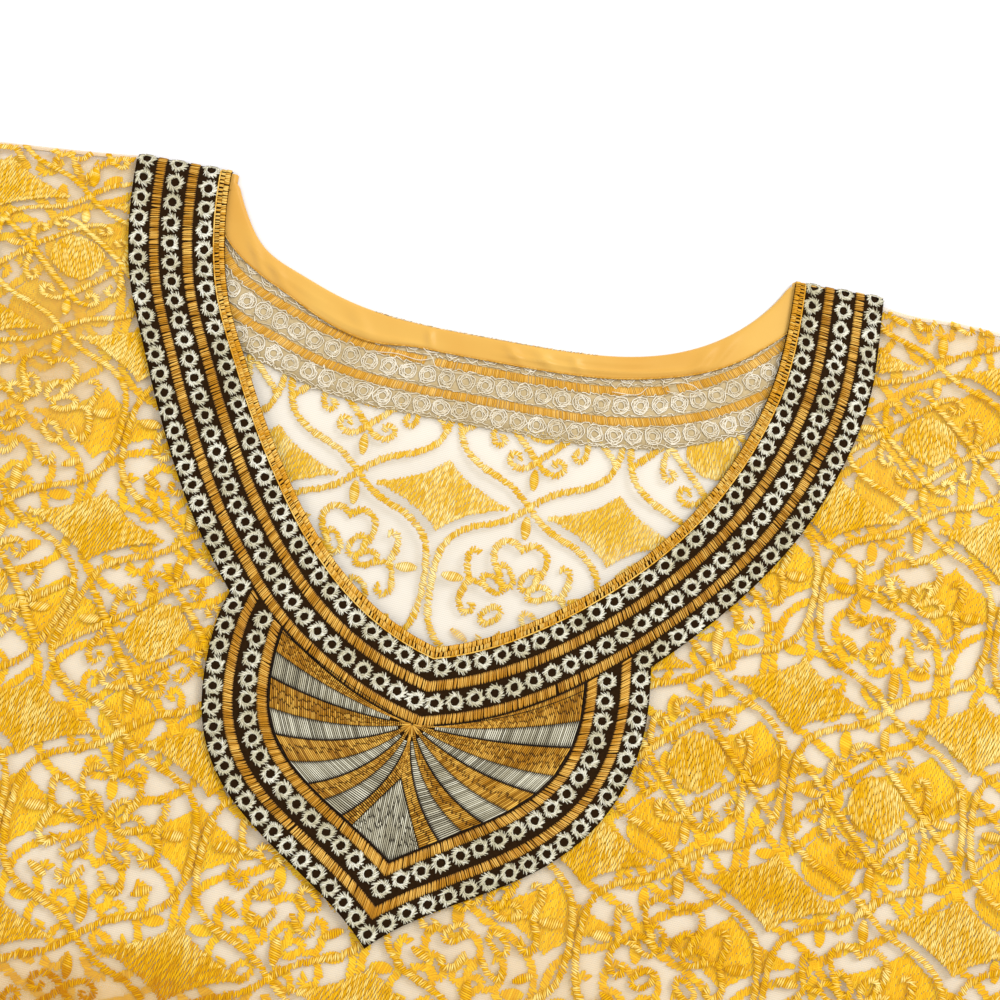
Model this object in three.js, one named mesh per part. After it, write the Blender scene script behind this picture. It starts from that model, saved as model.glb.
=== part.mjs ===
// A boubou dress of embroidered net lace, laid flat with its front up.
//
// The garment is two wide panels that lie on each other, a V neckline with an
// embroidered trim band and a shield-shaped plaque below the V, and a back
// neckline whose trim is seen from its wrong side, under a satin facing.
// X runs across the garment, Y from the hem to the shoulders and Z up from the
// surface that it lies on. All sizes are millimetres.
import * as THREE from 'three';

// Cloth
const WALL = 1.2;
const SEAM = 0.3;
const FACING_WALL = 1.1;

// Outline of the two panels. The shoulder line is y = 0 at the neck and drops
// towards the sides, and the hem rises at its corners.
const LENGTH = 1350;
const HALF_WIDTH = 680;
const SHOULDER = { level: 159, drop: 28, bend: 0.75 };
const HEM_CORNER = { rise: 74, bend: 8 };
const FRONT_HEM_SHORTER = 7;

// The shoulder fold: the front turns down to the surface over this depth.
const FOLD = 2.7;
const FOLD_END = FOLD + SEAM;
const FOLD_STEPS = [0, 0.7, 1.6, FOLD, FOLD_END];
const UNDER_BAND_STEPS = [0, 0.1, 0.2, 0.3, 0.4];
const BACK_START = FOLD + 3 * SEAM;
const UNDER_BAND_START = FOLD + 5 * SEAM;

// Front neckline: the right half is one Bezier curve from shoulder to V.
const NECK_HALF_WIDTH = 119.9;
const NECK_DEPTH = 175.7;
const NECK_CURVE = [
  { x: NECK_HALF_WIDTH, y: 0 },
  { x: NECK_HALF_WIDTH, y: -82.7 },
  { x: 58.1, y: -160 },
  { x: 0, y: -NECK_DEPTH },
];
const PANEL_SET_BACK = 0.8;

// Back neckline: a superellipse from shoulder to shoulder.
const BACK_NECK = { halfWidth: 118, depth: 48.7, flatness: 3.4, dip: 1.25 };
const BACK_BAND_WIDTH = { middle: 36, shoulder: 39 };
const FACING_ROLL = [
  { across: -1.5, lower: 1.5 },
  { across: -1.1, lower: 0.6 },
  { across: -SEAM, lower: 0.05 },
];
const FACING_EDGE_LOWER = 0.2;
const FACING_LEAST_WIDTH = 0.4;
const FACING_WIDTH = [
  { x: -118, width: 12 },
  { x: -98, width: 8 },
  { x: -52, width: 11.5 },
  { x: -28, width: 8.4 },
  { x: 60, width: 8.2 },
  { x: 98, width: 10.2 },
  { x: 118, width: 12 },
];

// The band's section, from the neck edge outward: satin stripes and ring rows
// stand up from the ground.
const BAND_WIDTH = 39;
const BAND_WIDTH_AT_SHIELD = 30.8;
const BAND_ROWS_GATHER = 0.1;
const BAND_SECTION = [
  { across: 0, raised: 0.1 },
  { across: 2, raised: 0.6 },
  { across: 4.2, raised: 0 },
  { across: 8.2, raised: 0.4 },
  { across: 12.6, raised: 0 },
  { across: 15, raised: 0.55 },
  { across: 17.3, raised: 0 },
  { across: 21.9, raised: 0.4 },
  { across: 26.4, raised: 0 },
  { across: 28.6, raised: 0.55 },
  { across: BAND_WIDTH_AT_SHIELD, raised: 0 },
  { across: 35, raised: 0.4 },
  { across: BAND_WIDTH, raised: 0.1 },
];

// The shield's outline, right half, from the notch where it leaves the band's
// edge to its tip, and its section from that outline inward.
const NOTCH_X = 86;
const NOTCH_STEP = 0.4;
const SHIELD_SHOULDER = { x: 99.5, y: -256.5 };
const SHIELD_FLANK = { x: 33, y: -258.5 };
const SHIELD_TIP = { x: 0, y: -293.6 };
const SHIELD_SECTION = [
  { inset: 0, raised: 0.1 },
  { inset: 3.9, raised: 0.4 },
  { inset: 7.9, raised: 0 },
  { inset: 9.8, raised: 0.55 },
  { inset: 11.7, raised: 0 },
  { inset: 17.3, raised: 0.4 },
  { inset: 20.9, raised: 0 },
  { inset: 22.9, raised: 0.55 },
  { inset: 25.2, raised: 0 },
  { inset: 26.4, raised: 0.35 },
];
const FAN_RAISED = 0.35;
const SHIELD_LEAST_SQUARE = 0.6;
const SHIELD_ROW_GAP = 0.015;

// How the cloth lies. The front drifts sideways by a few millimetres down its
// middle, and soft folds run down it, each a ridge from one place to another.
const LAY_DRIFT = [
  { y: 0, aside: 0 },
  { y: -100, aside: 2.7 },
  { y: -180, aside: -2.3 },
  { y: -250, aside: -4.7 },
  { y: -295, aside: -8.5 },
  { y: -450, aside: -6 },
  { y: -800, aside: 0 },
];
const DRIFT_REACH = { full: 240, none: 520 };
const FRONT_FOLDS = [
  { fromX: -205, fromY: -40, toX: -262, toY: -700, half: 26, height: 2.4 },
  { fromX: 196, fromY: -90, toX: 300, toY: -640, half: 24, height: 2.2 },
  { fromX: -118, fromY: -235, toX: -150, toY: -900, half: 30, height: 2.8 },
  { fromX: 110, fromY: -300, toX: 92, toY: -1350, half: 34, height: 5.5 },
  { fromX: -430, fromY: -60, toX: -360, toY: -1350, half: 42, height: 7 },
  { fromX: 455, fromY: -110, toX: 505, toY: -1350, half: 38, height: 6.2 },
  { fromX: -20, fromY: -480, toX: -66, toY: -1350, half: 40, height: 7.5 },
  { fromX: 285, fromY: -420, toX: 322, toY: -1350, half: 30, height: 6.4 },
  { fromX: -590, fromY: -300, toX: -560, toY: -1350, half: 34, height: 5 },
];
const FOLD_GROWS_OVER = 220;
const FLAT_AT_TRIM = { y: -110, radius: 218, easesOver: 110 };

// How finely the pieces are divided
const NECK_COLUMNS = 12;
const SHOULDER_COLUMNS = 9;
const BAND_STEP = 8;
const SHIELD_COLUMNS = 20;
const BACK_NECK_COLUMNS = 31;
const FRONT_ROWS = [0.02, 0.05, 0.09, 0.13, 0.17, 0.22, 0.29, 0.38, 0.49, 0.61, 0.74, 0.87, 1];
const BACK_ROWS = [0, 0.05, 0.14, 0.28, 0.46, 0.64, 0.82, 1];
const BACK_BAND_ROWS = [0, 1 / 3, 2 / 3, 1];
const CURVE_DETAIL = 400;

// Colours
const FINISHES = {
  lace: { color: 0xe8b030, roughness: 0.7, metalness: 0 },
  trim: { color: 0x3a2c22, roughness: 0.85, metalness: 0 },
  trimWrongSide: { color: 0xc6bca4, roughness: 0.9, metalness: 0 },
  satin: { color: 0xeeba4c, roughness: 0.45, metalness: 0 },
};

const mix = (a, b, t) => a + (b - a) * t;
const ease = (t) => t * t * (3 - 2 * t);
const clamp = (t) => Math.min(1, Math.max(0, t));

// Reads a table that is ordered by one column, easing between its rows.
function readTable(rows, key, value, at) {
  const order = rows[0][key] < rows[rows.length - 1][key] ? rows : [...rows].reverse();
  if (at <= order[0][key]) return order[0][value];
  for (let i = 1; i < order.length; i++) {
    const a = order[i - 1];
    const b = order[i];
    if (at <= b[key]) return mix(a[value], b[value], ease((at - a[key]) / (b[key] - a[key])));
  }
  return order[order.length - 1][value];
}

const shoulderY = (x) => {
  const out = clamp((Math.abs(x) - SHOULDER.level) / (HALF_WIDTH - SHOULDER.level));
  return -SHOULDER.drop * out ** SHOULDER.bend;
};
const hemY = (x) => -LENGTH + HEM_CORNER.rise * Math.abs(x / HALF_WIDTH) ** HEM_CORNER.bend;

// How far the front has drifted aside at a place.
function driftAt(x, y) {
  const reach = 1 - ease(clamp((Math.abs(x) - DRIFT_REACH.full) / (DRIFT_REACH.none - DRIFT_REACH.full)));
  return reach * readTable(LAY_DRIFT, 'y', 'aside', y);
}

// How high the front stands off the back at a place. The stiff trim keeps it
// flat all round the neck.
function liftAt(x, y) {
  const fromTrim = Math.hypot(x, y - FLAT_AT_TRIM.y) - FLAT_AT_TRIM.radius;
  const free = ease(clamp(fromTrim / FLAT_AT_TRIM.easesOver));
  let lift = 0;
  for (const fold of FRONT_FOLDS) {
    const down = clamp((fold.fromY - y) / (fold.fromY - fold.toY));
    const middle = mix(fold.fromX, fold.toX, down);
    const aside = (x - middle) / fold.half;
    const grown = ease(clamp((fold.fromY - y) / FOLD_GROWS_OVER));
    const ends = fold.toY > -LENGTH ? ease(clamp((y - fold.toY) / FOLD_GROWS_OVER)) : 1;
    lift += fold.height * free * grown * ends * Math.exp(-aside * aside);
  }
  return lift;
}

function bezier(control) {
  const curve = new THREE.CubicBezierCurve(...control.map((p) => new THREE.Vector2(p.x, p.y)));
  return curve.getPoints(CURVE_DETAIL);
}

// The distance along a curve to each of its points.
function lengthsOf(curve) {
  const lengths = [0];
  for (let i = 1; i < curve.length; i++) {
    lengths.push(lengths[i - 1] + Math.hypot(curve[i].x - curve[i - 1].x, curve[i].y - curve[i - 1].y));
  }
  return lengths;
}

// A place on a curve, with the normal to the left of its direction of travel.
function pointAlong(curve, lengths, distance) {
  let i = 1;
  while (i < curve.length - 1 && lengths[i] < distance) i++;
  const t = clamp((distance - lengths[i - 1]) / (lengths[i] - lengths[i - 1]));
  const a = curve[i - 1];
  const b = curve[i];
  const step = Math.hypot(b.x - a.x, b.y - a.y);
  return {
    x: mix(a.x, b.x, t),
    y: mix(a.y, b.y, t),
    nx: -(b.y - a.y) / step,
    ny: (b.x - a.x) / step,
    along: distance,
  };
}

function evenly(curve, count) {
  const lengths = lengthsOf(curve);
  const total = lengths[lengths.length - 1];
  return Array.from({ length: count }, (_, k) => pointAlong(curve, lengths, (total * k) / (count - 1)));
}

const offset = (p, across) => ({ x: p.x + p.nx * across, y: p.y + p.ny * across });
const mirrored = (p) => ({ ...p, x: -p.x, nx: -p.nx });

// The front neck edge, right half, by the distance from the shoulder. Its
// normals point away from the opening, and the last one is the mitre at the V.
const neckCurve = bezier(NECK_CURVE);
const neckLengths = lengthsOf(neckCurve);
const NECK_RUN = neckLengths[neckLengths.length - 1];

function neckPoint(distance) {
  const p = pointAlong(neckCurve, neckLengths, distance);
  const atV = distance > NECK_RUN - 1e-6;
  return atV ? { x: 0, y: -NECK_DEPTH, nx: 0, ny: 1 / p.ny, along: NECK_RUN } : p;
}

// Joins a right half, listed from the shoulder to the V, to its mirror image.
const wholeFromHalf = (half) => [...half.map(mirrored), ...[...half].reverse().slice(1)];

// A closed solid from a grid of points that each have a low and a high side.
function slab(name, finish, columns) {
  const rows = columns[0].length;
  const positions = [];
  for (const column of columns) {
    for (const p of column) positions.push(p.x, p.y, p.low, p.x, p.y, p.high);
  }
  const low = (i, j) => 2 * (i * rows + j);
  const high = (i, j) => low(i, j) + 1;
  const index = [];
  const quad = (a, b, c, d) => index.push(a, b, c, a, c, d);
  const wall = (i, j, k, l) => quad(low(i, j), low(k, l), high(k, l), high(i, j));
  const last = columns.length - 1;
  for (let i = 0; i < last; i++) {
    for (let j = 0; j < rows - 1; j++) {
      quad(high(i, j), high(i, j + 1), high(i + 1, j + 1), high(i + 1, j));
      quad(low(i, j), low(i + 1, j), low(i + 1, j + 1), low(i, j + 1));
    }
    wall(i + 1, 0, i, 0);
    wall(i, rows - 1, i + 1, rows - 1);
  }
  for (let j = 0; j < rows - 1; j++) {
    wall(0, j, 0, j + 1);
    wall(last, j + 1, last, j);
  }
  const geometry = new THREE.BufferGeometry();
  geometry.setAttribute('position', new THREE.Float32BufferAttribute(positions, 3));
  geometry.setIndex(index);
  geometry.computeVertexNormals();
  const mesh = new THREE.Mesh(geometry, new THREE.MeshStandardMaterial(finish));
  mesh.name = name;
  mesh.position.y = LENGTH / 2;
  return mesh;
}

// The rounded top of the shoulder fold: how much lower it is near its edge.
const roundedBy = (depth, fall) => fall * (1 - Math.sqrt(1 - (1 - clamp(depth / FOLD)) ** 2));

// Places along the right shoulder, from the side to the trim. Front and back
// share them, so that their edges run alike.
const BAND_EDGE = NECK_HALF_WIDTH + BAND_WIDTH;
const BESIDE_BAND = BAND_EDGE + 0.6;
const UNDER_BAND = BAND_EDGE + 0.2;
const shoulderPlaces = Array.from({ length: SHOULDER_COLUMNS }, (_, i) => {
  const x = mix(HALF_WIDTH, BESIDE_BAND, Math.sqrt(i / (SHOULDER_COLUMNS - 1)));
  return { x, y: shoulderY(x) };
});

// Where the top of a front column starts: the shoulder, the place under the
// band's fold, or the neck edge.
function frontTops() {
  const half = shoulderPlaces.map((place) => ({ ...place, folds: true }));
  half.push({ x: UNDER_BAND, y: -UNDER_BAND_START, folds: false });
  half.push({ x: (BAND_EDGE + NECK_HALF_WIDTH) / 2, y: -UNDER_BAND_START, folds: false });
  for (let i = 0; i < NECK_COLUMNS; i++) {
    const p = neckPoint(mix(UNDER_BAND_START, NECK_RUN, i / (NECK_COLUMNS - 1)));
    half.push({ ...offset(p, PANEL_SET_BACK), folds: false });
  }
  return half;
}

function spreadColumns(half, rowsOf) {
  const columns = half.map((top, i) => {
    const hemX = HALF_WIDTH * (1 - i / (half.length - 1));
    return rowsOf(top, hemX);
  });
  const left = columns.map((column) => column.map((p) => ({ ...p, x: -p.x })));
  return [...left, ...[...columns].reverse().slice(1)];
}

const layOnBack = (column, low, high) => column.map((p) => {
  const lift = liftAt(p.x, p.y);
  return { x: p.x + driftAt(p.x, p.y), y: p.y, low: low(p) + lift * p.free, high: high(p) + lift };
});

// The front panel lies on the back panel, and its top edge turns down over the
// shoulder line. Its side and hem follow the back's.
function frontPanel() {
  const bottom = WALL + SEAM;
  const columns = spreadColumns(frontTops(), (top, hemX) => {
    const steps = top.folds ? FOLD_STEPS : UNDER_BAND_STEPS;
    const start = steps[steps.length - 1];
    const fold = steps.map((depth) => ({ x: top.x, y: top.y - depth, depth, folds: top.folds }));
    const rest = FRONT_ROWS.map((f) => ({
      x: mix(top.x, hemX, f),
      y: mix(top.y - start, hemY(hemX) + FRONT_HEM_SHORTER, f),
      depth: LENGTH,
      folds: false,
    }));
    return [...fold, ...rest];
  });
  return slab('front_panel', FINISHES.lace, columns.map((column) => layOnBack(
    column.map((p) => ({ ...p, free: p.folds ? 0 : 1 })),
    (p) => (p.folds && p.depth <= FOLD ? 0 : bottom),
    (p) => bottom + WALL - (p.folds ? roundedBy(p.depth, bottom) : 0),
  )));
}

// The back neck edge, left to right, with normals pointing away from the
// opening, starting just below the shoulder fold.
function backNeckEdge() {
  const curve = [];
  for (let i = -CURVE_DETAIL; i <= CURVE_DETAIL; i++) {
    const turn = (Math.PI / 2) * (Math.abs(i) / CURVE_DETAIL);
    const x = Math.sign(i) * BACK_NECK.halfWidth * Math.sin(turn) ** (2 / BACK_NECK.flatness);
    const y = -BACK_NECK.depth * Math.cos(turn) ** (2 / BACK_NECK.dip);
    if (y < -UNDER_BAND_START) curve.push({ x: -x, y });
  }
  return evenly(curve, BACK_NECK_COLUMNS).reverse();
}

const backBandWidth = (p) => mix(BACK_BAND_WIDTH.middle, BACK_BAND_WIDTH.shoulder,
  ease(clamp(Math.abs(p.x) / BACK_NECK.halfWidth)));

// The back panel lies on the surface and ends where the trim begins.
function backPanel() {
  const edge = backNeckEdge();
  const halfEdge = [...edge].reverse().slice(0, (BACK_NECK_COLUMNS + 1) / 2);
  const half = shoulderPlaces.map(({ x, y }) => ({ x, y: y - BACK_START }));
  for (const p of halfEdge) half.push(offset(p, backBandWidth(p) + SEAM));
  return slab('back_panel', FINISHES.lace, spreadColumns(half, (top, hemX) => BACK_ROWS.map((f) => ({
    x: mix(top.x, hemX, f),
    y: mix(top.y, hemY(hemX), f),
    low: 0,
    high: WALL,
  }))));
}

// The distance from the shoulder at which the shield leaves the band's edge.
function notchDistance() {
  let distance = 0;
  while (offset(neckPoint(distance), BAND_WIDTH).x > NOTCH_X) distance += 0.2;
  return distance;
}
const NOTCH = notchDistance();

const frontTop = WALL + SEAM + WALL;
const trimPoint = (p, low, high) => ({ x: p.x + driftAt(p.x, p.y), y: p.y, low, high });

// The V band lies on the front panel. Its ends turn over the shoulder, and
// between the notches its outer ring row leaves it to run round the shield.
function neckBandFront() {
  const bottom = frontTop + SEAM;
  const before = Math.ceil((NOTCH - FOLD_END) / BAND_STEP);
  const after = Math.ceil((NECK_RUN - NOTCH) / BAND_STEP);
  const stops = [...FOLD_STEPS];
  for (let i = 1; i <= before; i++) stops.push(mix(FOLD_END, NOTCH, i / before));
  for (let i = 0; i <= after; i++) stops.push(mix(NOTCH + NOTCH_STEP, NECK_RUN, i / after));
  const half = stops.map((distance) => {
    const p = neckPoint(distance);
    let squeezed = BAND_WIDTH_AT_SHIELD;
    return { ...p, section: BAND_SECTION.map((row) => {
      if (distance <= NOTCH || row.across <= BAND_WIDTH_AT_SHIELD) return row;
      squeezed += BAND_ROWS_GATHER;
      return { across: squeezed, raised: 0 };
    }) };
  });
  const columns = wholeFromHalf(half).map((p) => p.section.map((row) => {
    const turned = p.along <= FOLD;
    const fall = roundedBy(p.along, bottom);
    return trimPoint(offset(p, row.across), turned ? 0 : bottom, bottom + WALL + row.raised - fall);
  }));
  return slab('neck_band_front', FINISHES.trim, columns);
}

// The shield continues the band's ground below the V. Each column runs from the
// shield's outline to the band, and its rows keep their distance from the
// outline until they reach the band.
function neckShield() {
  const bottom = frontTop + SEAM;
  const start = NOTCH + NOTCH_STEP + SEAM;
  const notch = offset(neckPoint(start), BAND_WIDTH);
  const outline = evenly(bezier([notch, SHIELD_SHOULDER, SHIELD_FLANK, SHIELD_TIP]), SHIELD_COLUMNS);
  const half = outline.map((edge, i) => {
    const t = i / (SHIELD_COLUMNS - 1);
    const seam = offset(neckPoint(mix(start, NECK_RUN, t)), BAND_WIDTH_AT_SHIELD + 2 * BAND_ROWS_GATHER + SEAM);
    return { edge: i === SHIELD_COLUMNS - 1 ? { ...edge, x: 0, nx: 0, ny: 1 } : edge, seam };
  });
  const columnOf = ({ edge, seam }) => {
    const reach = Math.hypot(seam.x - edge.x, seam.y - edge.y);
    const along = Math.abs((seam.x - edge.x) * edge.nx + (seam.y - edge.y) * edge.ny) / reach;
    const rows = SHIELD_SECTION.map((row, k) => {
      const share = row.inset / (reach * Math.max(along, SHIELD_LEAST_SQUARE));
      const most = 1 - SHIELD_ROW_GAP * (SHIELD_SECTION.length - k);
      return { share: Math.min(share, most), raised: row.raised };
    });
    return [...rows, { share: 1, raised: FAN_RAISED }].map((row) => ({
      x: mix(edge.x, seam.x, row.share),
      y: mix(edge.y, seam.y, row.share),
      raised: row.raised,
    }));
  };
  const right = half.map(columnOf);
  const left = right.map((column) => column.map((p) => ({ ...p, x: -p.x })));
  const columns = [...left, ...[...right].reverse().slice(1)].map((column) => column
    .map((p) => trimPoint(p, bottom, bottom + WALL + p.raised)).reverse());
  return slab('neck_shield', FINISHES.trim, columns);
}

// The back trim lies on the surface with its wrong side up.
function neckBandBack() {
  return slab('neck_band_back', FINISHES.trimWrongSide, backNeckEdge().map((p) => {
    const width = backBandWidth(p);
    return BACK_BAND_ROWS.map((f) => ({ ...offset(p, f * width), low: 0, high: WALL }));
  }));
}

// The facing rolls over the back neck edge and lies on the trim, up to where
// the front's neck edge covers it.
function neckFacing() {
  const frontEdgeX = (y) => neckCurve.find((q) => q.y <= y).x;
  const coveredAt = (p) => Math.abs(p.x - driftAt(p.x, p.y)) > frontEdgeX(p.y) - 2 * SEAM;
  const top = WALL + SEAM + FACING_WALL;
  return slab('neck_facing', FINISHES.satin, backNeckEdge().map((p) => {
    let width = readTable(FACING_WIDTH, 'x', 'width', p.x);
    while (width > FACING_LEAST_WIDTH && coveredAt(offset(p, width))) width -= 0.1;
    const flat = [
      { across: 0, lower: 0 },
      { across: width / 2, lower: 0 },
      { across: width, lower: FACING_EDGE_LOWER },
    ];
    return [...FACING_ROLL, ...flat].map((row) => ({
      ...offset(p, row.across),
      low: row.across < 0 ? 0 : WALL + SEAM,
      high: top - row.lower,
    }));
  }));
}

const group = new THREE.Group();
group.add(backPanel(), frontPanel(), neckBandFront(), neckShield(), neckBandBack(), neckFacing());

export default group;
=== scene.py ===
# %% [markdown]
# # A boubou dress of yellow net lace, laid flat
#
# The photograph is a close look at the neckline of a wide dress. Two panels of
# fine net carry satin-stitch medallions. A stiff trim runs round the neck: a
# dark ground with rows of pale stitched rings and gold satin stripes, and a
# shield with a fan below the V. Behind the V, the same trim shows its wrong
# side under a satin facing. Each of these is made here as its own thin shell,
# and each stitch near the camera is a small raised piece of thread, because
# single stitches catch the light in the photograph.

# %% The frame
import math

import bpy
import numpy as np
from mathutils import Matrix, Vector


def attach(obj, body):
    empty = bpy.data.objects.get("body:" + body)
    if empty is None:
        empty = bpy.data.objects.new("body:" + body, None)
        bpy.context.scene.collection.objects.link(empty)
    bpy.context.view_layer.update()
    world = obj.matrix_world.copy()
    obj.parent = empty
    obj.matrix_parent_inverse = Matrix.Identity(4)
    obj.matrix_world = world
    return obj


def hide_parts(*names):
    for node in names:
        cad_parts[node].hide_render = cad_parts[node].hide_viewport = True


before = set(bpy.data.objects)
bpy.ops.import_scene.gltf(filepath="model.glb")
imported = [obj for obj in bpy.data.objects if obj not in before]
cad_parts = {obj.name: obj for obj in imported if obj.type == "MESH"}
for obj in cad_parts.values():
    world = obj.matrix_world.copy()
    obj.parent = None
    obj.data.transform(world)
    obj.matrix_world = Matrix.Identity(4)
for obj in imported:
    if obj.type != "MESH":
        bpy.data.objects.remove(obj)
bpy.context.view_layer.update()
print("nodes", sorted(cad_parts))

# %% [markdown]
# The garment is measured in millimetres from the middle of the shoulder line:
# x across, y negative towards the hem, z up. These are the same named sizes as
# in the part's source, so that every shell lies on its own solid.

# %% Sizes of the cut
LENGTH = 1350
HALF_WIDTH = 680
WALL = 1.2
SEAM = 0.3
SHOULDER = {"level": 159, "drop": 28, "bend": 0.75}
HEM_CORNER = {"rise": 74, "bend": 8}
FRONT_HEM_SHORTER = 7
FOLD = 2.7
BACK_START = FOLD + 3 * SEAM
NECK_CURVE = [(119.9, 0), (119.9, -82.7), (58.1, -160), (0, -175.7)]
BACK_NECK = {"half_width": 118, "depth": 48.7, "flatness": 3.4, "dip": 1.25}
# As it lies, the left corner of the back neckline is drawn in
CORNER_PULL = {"x": -100, "reach": 13, "depth": 3.5}
BACK_BAND_WIDTH = {"middle": 36, "shoulder": 39}
FACING_WIDTH = [(-118, 12), (-98, 8), (-52, 11.5), (-28, 8.4), (60, 8.2), (98, 10.2), (118, 12)]
BAND_WIDTH = 39
NOTCH_X = 86
SHIELD_SHOULDER = (99.5, -256.5)
SHIELD_FLANK = (33, -258.5)
SHIELD_TIP = (0, -293.6)
LAY_DRIFT = [(-800, 0), (-450, -6), (-295, -8.5), (-250, -4.7), (-180, -2.3), (-100, 2.7), (0, 0)]
DRIFT_REACH = {"full": 240, "none": 520}
FRONT_FOLDS = [
    # from x, from y, to x, to y, half width, height
    (-205, -40, -262, -700, 26, 2.4),
    (196, -90, 300, -640, 24, 2.2),
    (-118, -235, -150, -900, 30, 2.8),
    (110, -300, 92, -1350, 34, 5.5),
    (-430, -60, -360, -1350, 42, 7),
    (455, -110, 505, -1350, 38, 6.2),
    (-20, -480, -66, -1350, 40, 7.5),
    (285, -420, 322, -1350, 30, 6.4),
    (-590, -300, -560, -1350, 34, 5),
]
FOLD_GROWS_OVER = 220
FLAT_AT_TRIM = {"y": -110, "radius": 218, "eases_over": 110}

# Heights of the shells above the surface
BACK_NET = 0.75
FRONT_NET = WALL + SEAM + 0.75
TRIM_UNDER = 2 * (WALL + SEAM)
TRIM = TRIM_UNDER + WALL
FACING = WALL + SEAM + 1.1
LOWEST = 0.05

# %% [markdown]
# Cloth that lies is never quite still. The front drifts aside by a few
# millimetres, and soft folds run down it from the shoulders. Small hollows and
# ridges are laid over them, so that the net isn't a flat sheet.

# %% How the cloth lies
PUFF = 2.6
BACK_IS_CALMER = 0.4
RISE = {"left": 2.6, "right": -3.2, "right at": 166, "right reach": 22, "right from": 158.5, "down to": -60}
RIGHT_LEANS_IN = [(-55, 0), (0, -2.2)]
LEFT_LEANS_IN = [(-185, 0), (-150, 2.6), (-85, 2.6), (-45, 0)]
SMALL_WAVES = [
    # wave length x, wave length y, phase, height
    (83, 140, 0.4, 0.22),
    (47, -118, 2.1, 0.14),
    (150, 61, 4.0, 0.2),
    (31, 72, 1.3, 0.08),
]
CREASES = [
    # from x, from y, to x, to y, half width, height
    (-252, -38, -176, -74, 5, 0.9),
    (-236, -92, -170, -132, 7, 0.8),
    (-228, -300, -150, -322, 8, 1.0),
    (171, -66, 236, -104, 6, 0.8),
    (150, -238, 214, -262, 7, 0.7),
    (-196, -170, -168, -250, 6, 0.6),
    (98, -214, 62, -300, 6, 0.7),
]


def ease(t):
    return t * t * (3 - 2 * t)


def clamp(t):
    return np.clip(t, 0.0, 1.0)


def bell(t):
    return np.exp(-(t ** 2))


def patches(rows, x, y):
    """Soft round patches, summed: each has a place, a reach each way and an amount."""
    total = 0.0
    for at_x, at_y, reach_x, reach_y, amount in rows:
        total = total + amount * np.exp(-(((x - at_x) / reach_x) ** 2) - ((y - at_y) / reach_y) ** 2)
    return total


def table(rows, at):
    """Reads a two-column table, easing between its rows."""
    keys, values = np.array(rows, float).T
    at = np.clip(at, keys[0], keys[-1])
    i = np.clip(np.searchsorted(keys, at, side="right") - 1, 0, len(keys) - 2)
    t = ease((at - keys[i]) / (keys[i + 1] - keys[i]))
    return values[i] + (values[i + 1] - values[i]) * t


def shoulder_y(x):
    out = clamp((np.abs(x) - SHOULDER["level"]) / (HALF_WIDTH - SHOULDER["level"]))
    return -SHOULDER["drop"] * out ** SHOULDER["bend"]


def hem_y(x):
    return -LENGTH + HEM_CORNER["rise"] * np.abs(x / HALF_WIDTH) ** HEM_CORNER["bend"]


def drift_at(x, y):
    span = DRIFT_REACH["none"] - DRIFT_REACH["full"]
    reach = 1 - ease(clamp((np.abs(x) - DRIFT_REACH["full"]) / span))
    right = clamp((x - 60) / 60)
    left = clamp((-x - 20) / 60)
    leans = table(RIGHT_LEANS_IN, y) * right * (1 + 0.02 * np.maximum(x - 120, 0))
    return reach * (table(LAY_DRIFT, y) + leans + table(LEFT_LEANS_IN, y) * left)


def rise_at(x, y):
    """How far the shoulder line was pushed up or pulled down when the dress was laid out."""
    near_fold = ease(clamp(1 - y / RISE["down to"]))
    left = RISE["left"] * clamp((-x - 60) / 60)
    right = RISE["right"] * bell((x - RISE["right at"]) / RISE["right reach"]) * (x > RISE["right from"])
    return near_fold * (left + right)


def ridge(x, y, ax, ay, bx, by, half):
    """A soft ridge from one place to another, 0 to 1."""
    run = math.hypot(bx - ax, by - ay)
    ux, uy = (bx - ax) / run, (by - ay) / run
    along = (x - ax) * ux + (y - ay) * uy
    aside = (x - ax) * uy - (y - ay) * ux
    ends = ease(clamp(along / (0.25 * run))) * ease(clamp((run - along) / (0.25 * run)))
    return ends * bell(aside / half)


def lift_at(x, y):
    """How high the front stands off the back."""
    from_trim = np.hypot(x, y - FLAT_AT_TRIM["y"]) - FLAT_AT_TRIM["radius"]
    free = ease(clamp(from_trim / FLAT_AT_TRIM["eases_over"]))
    lift = 0.0
    for fx, fy, tx, ty, half, height in FRONT_FOLDS:
        down = clamp((fy - y) / (fy - ty))
        aside = (x - (fx + (tx - fx) * down)) / half
        grown = ease(clamp((fy - y) / FOLD_GROWS_OVER))
        ends = ease(clamp((y - ty) / FOLD_GROWS_OVER)) if ty > -LENGTH else 1.0
        lift = lift + height * free * grown * ends * bell(aside)
    return lift


def uneven_at(x, y):
    small = 0.0
    for wx, wy, phase, height in SMALL_WAVES:
        small = small + height * np.sin(2 * np.pi * (x / wx + y / wy) + phase)
    for *line, height in CREASES:
        small = small + height * ridge(x, y, *line)
    return small


def rounded_by(depth, fall):
    """How much lower a shell is near the rounded edge of the shoulder fold."""
    return fall * (1 - np.sqrt(np.maximum(0, 1 - (1 - clamp(depth / FOLD)) ** 2)))


def on_front(points, height=0.0):
    """A place on the front panel, as it lies."""
    x, y = points[..., 0], points[..., 1]
    depth = shoulder_y(x) - y
    fall = np.where(np.abs(x) > SHOULDER["level"], rounded_by(depth, FRONT_NET), 0)
    calm = clamp((depth - FOLD) / 30)
    z = FRONT_NET + lift_at(x, y) + uneven_at(x, y) * calm + height - fall
    return np.stack([x + drift_at(x, y), y + rise_at(x, y), np.maximum(z, LOWEST)], -1)


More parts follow.
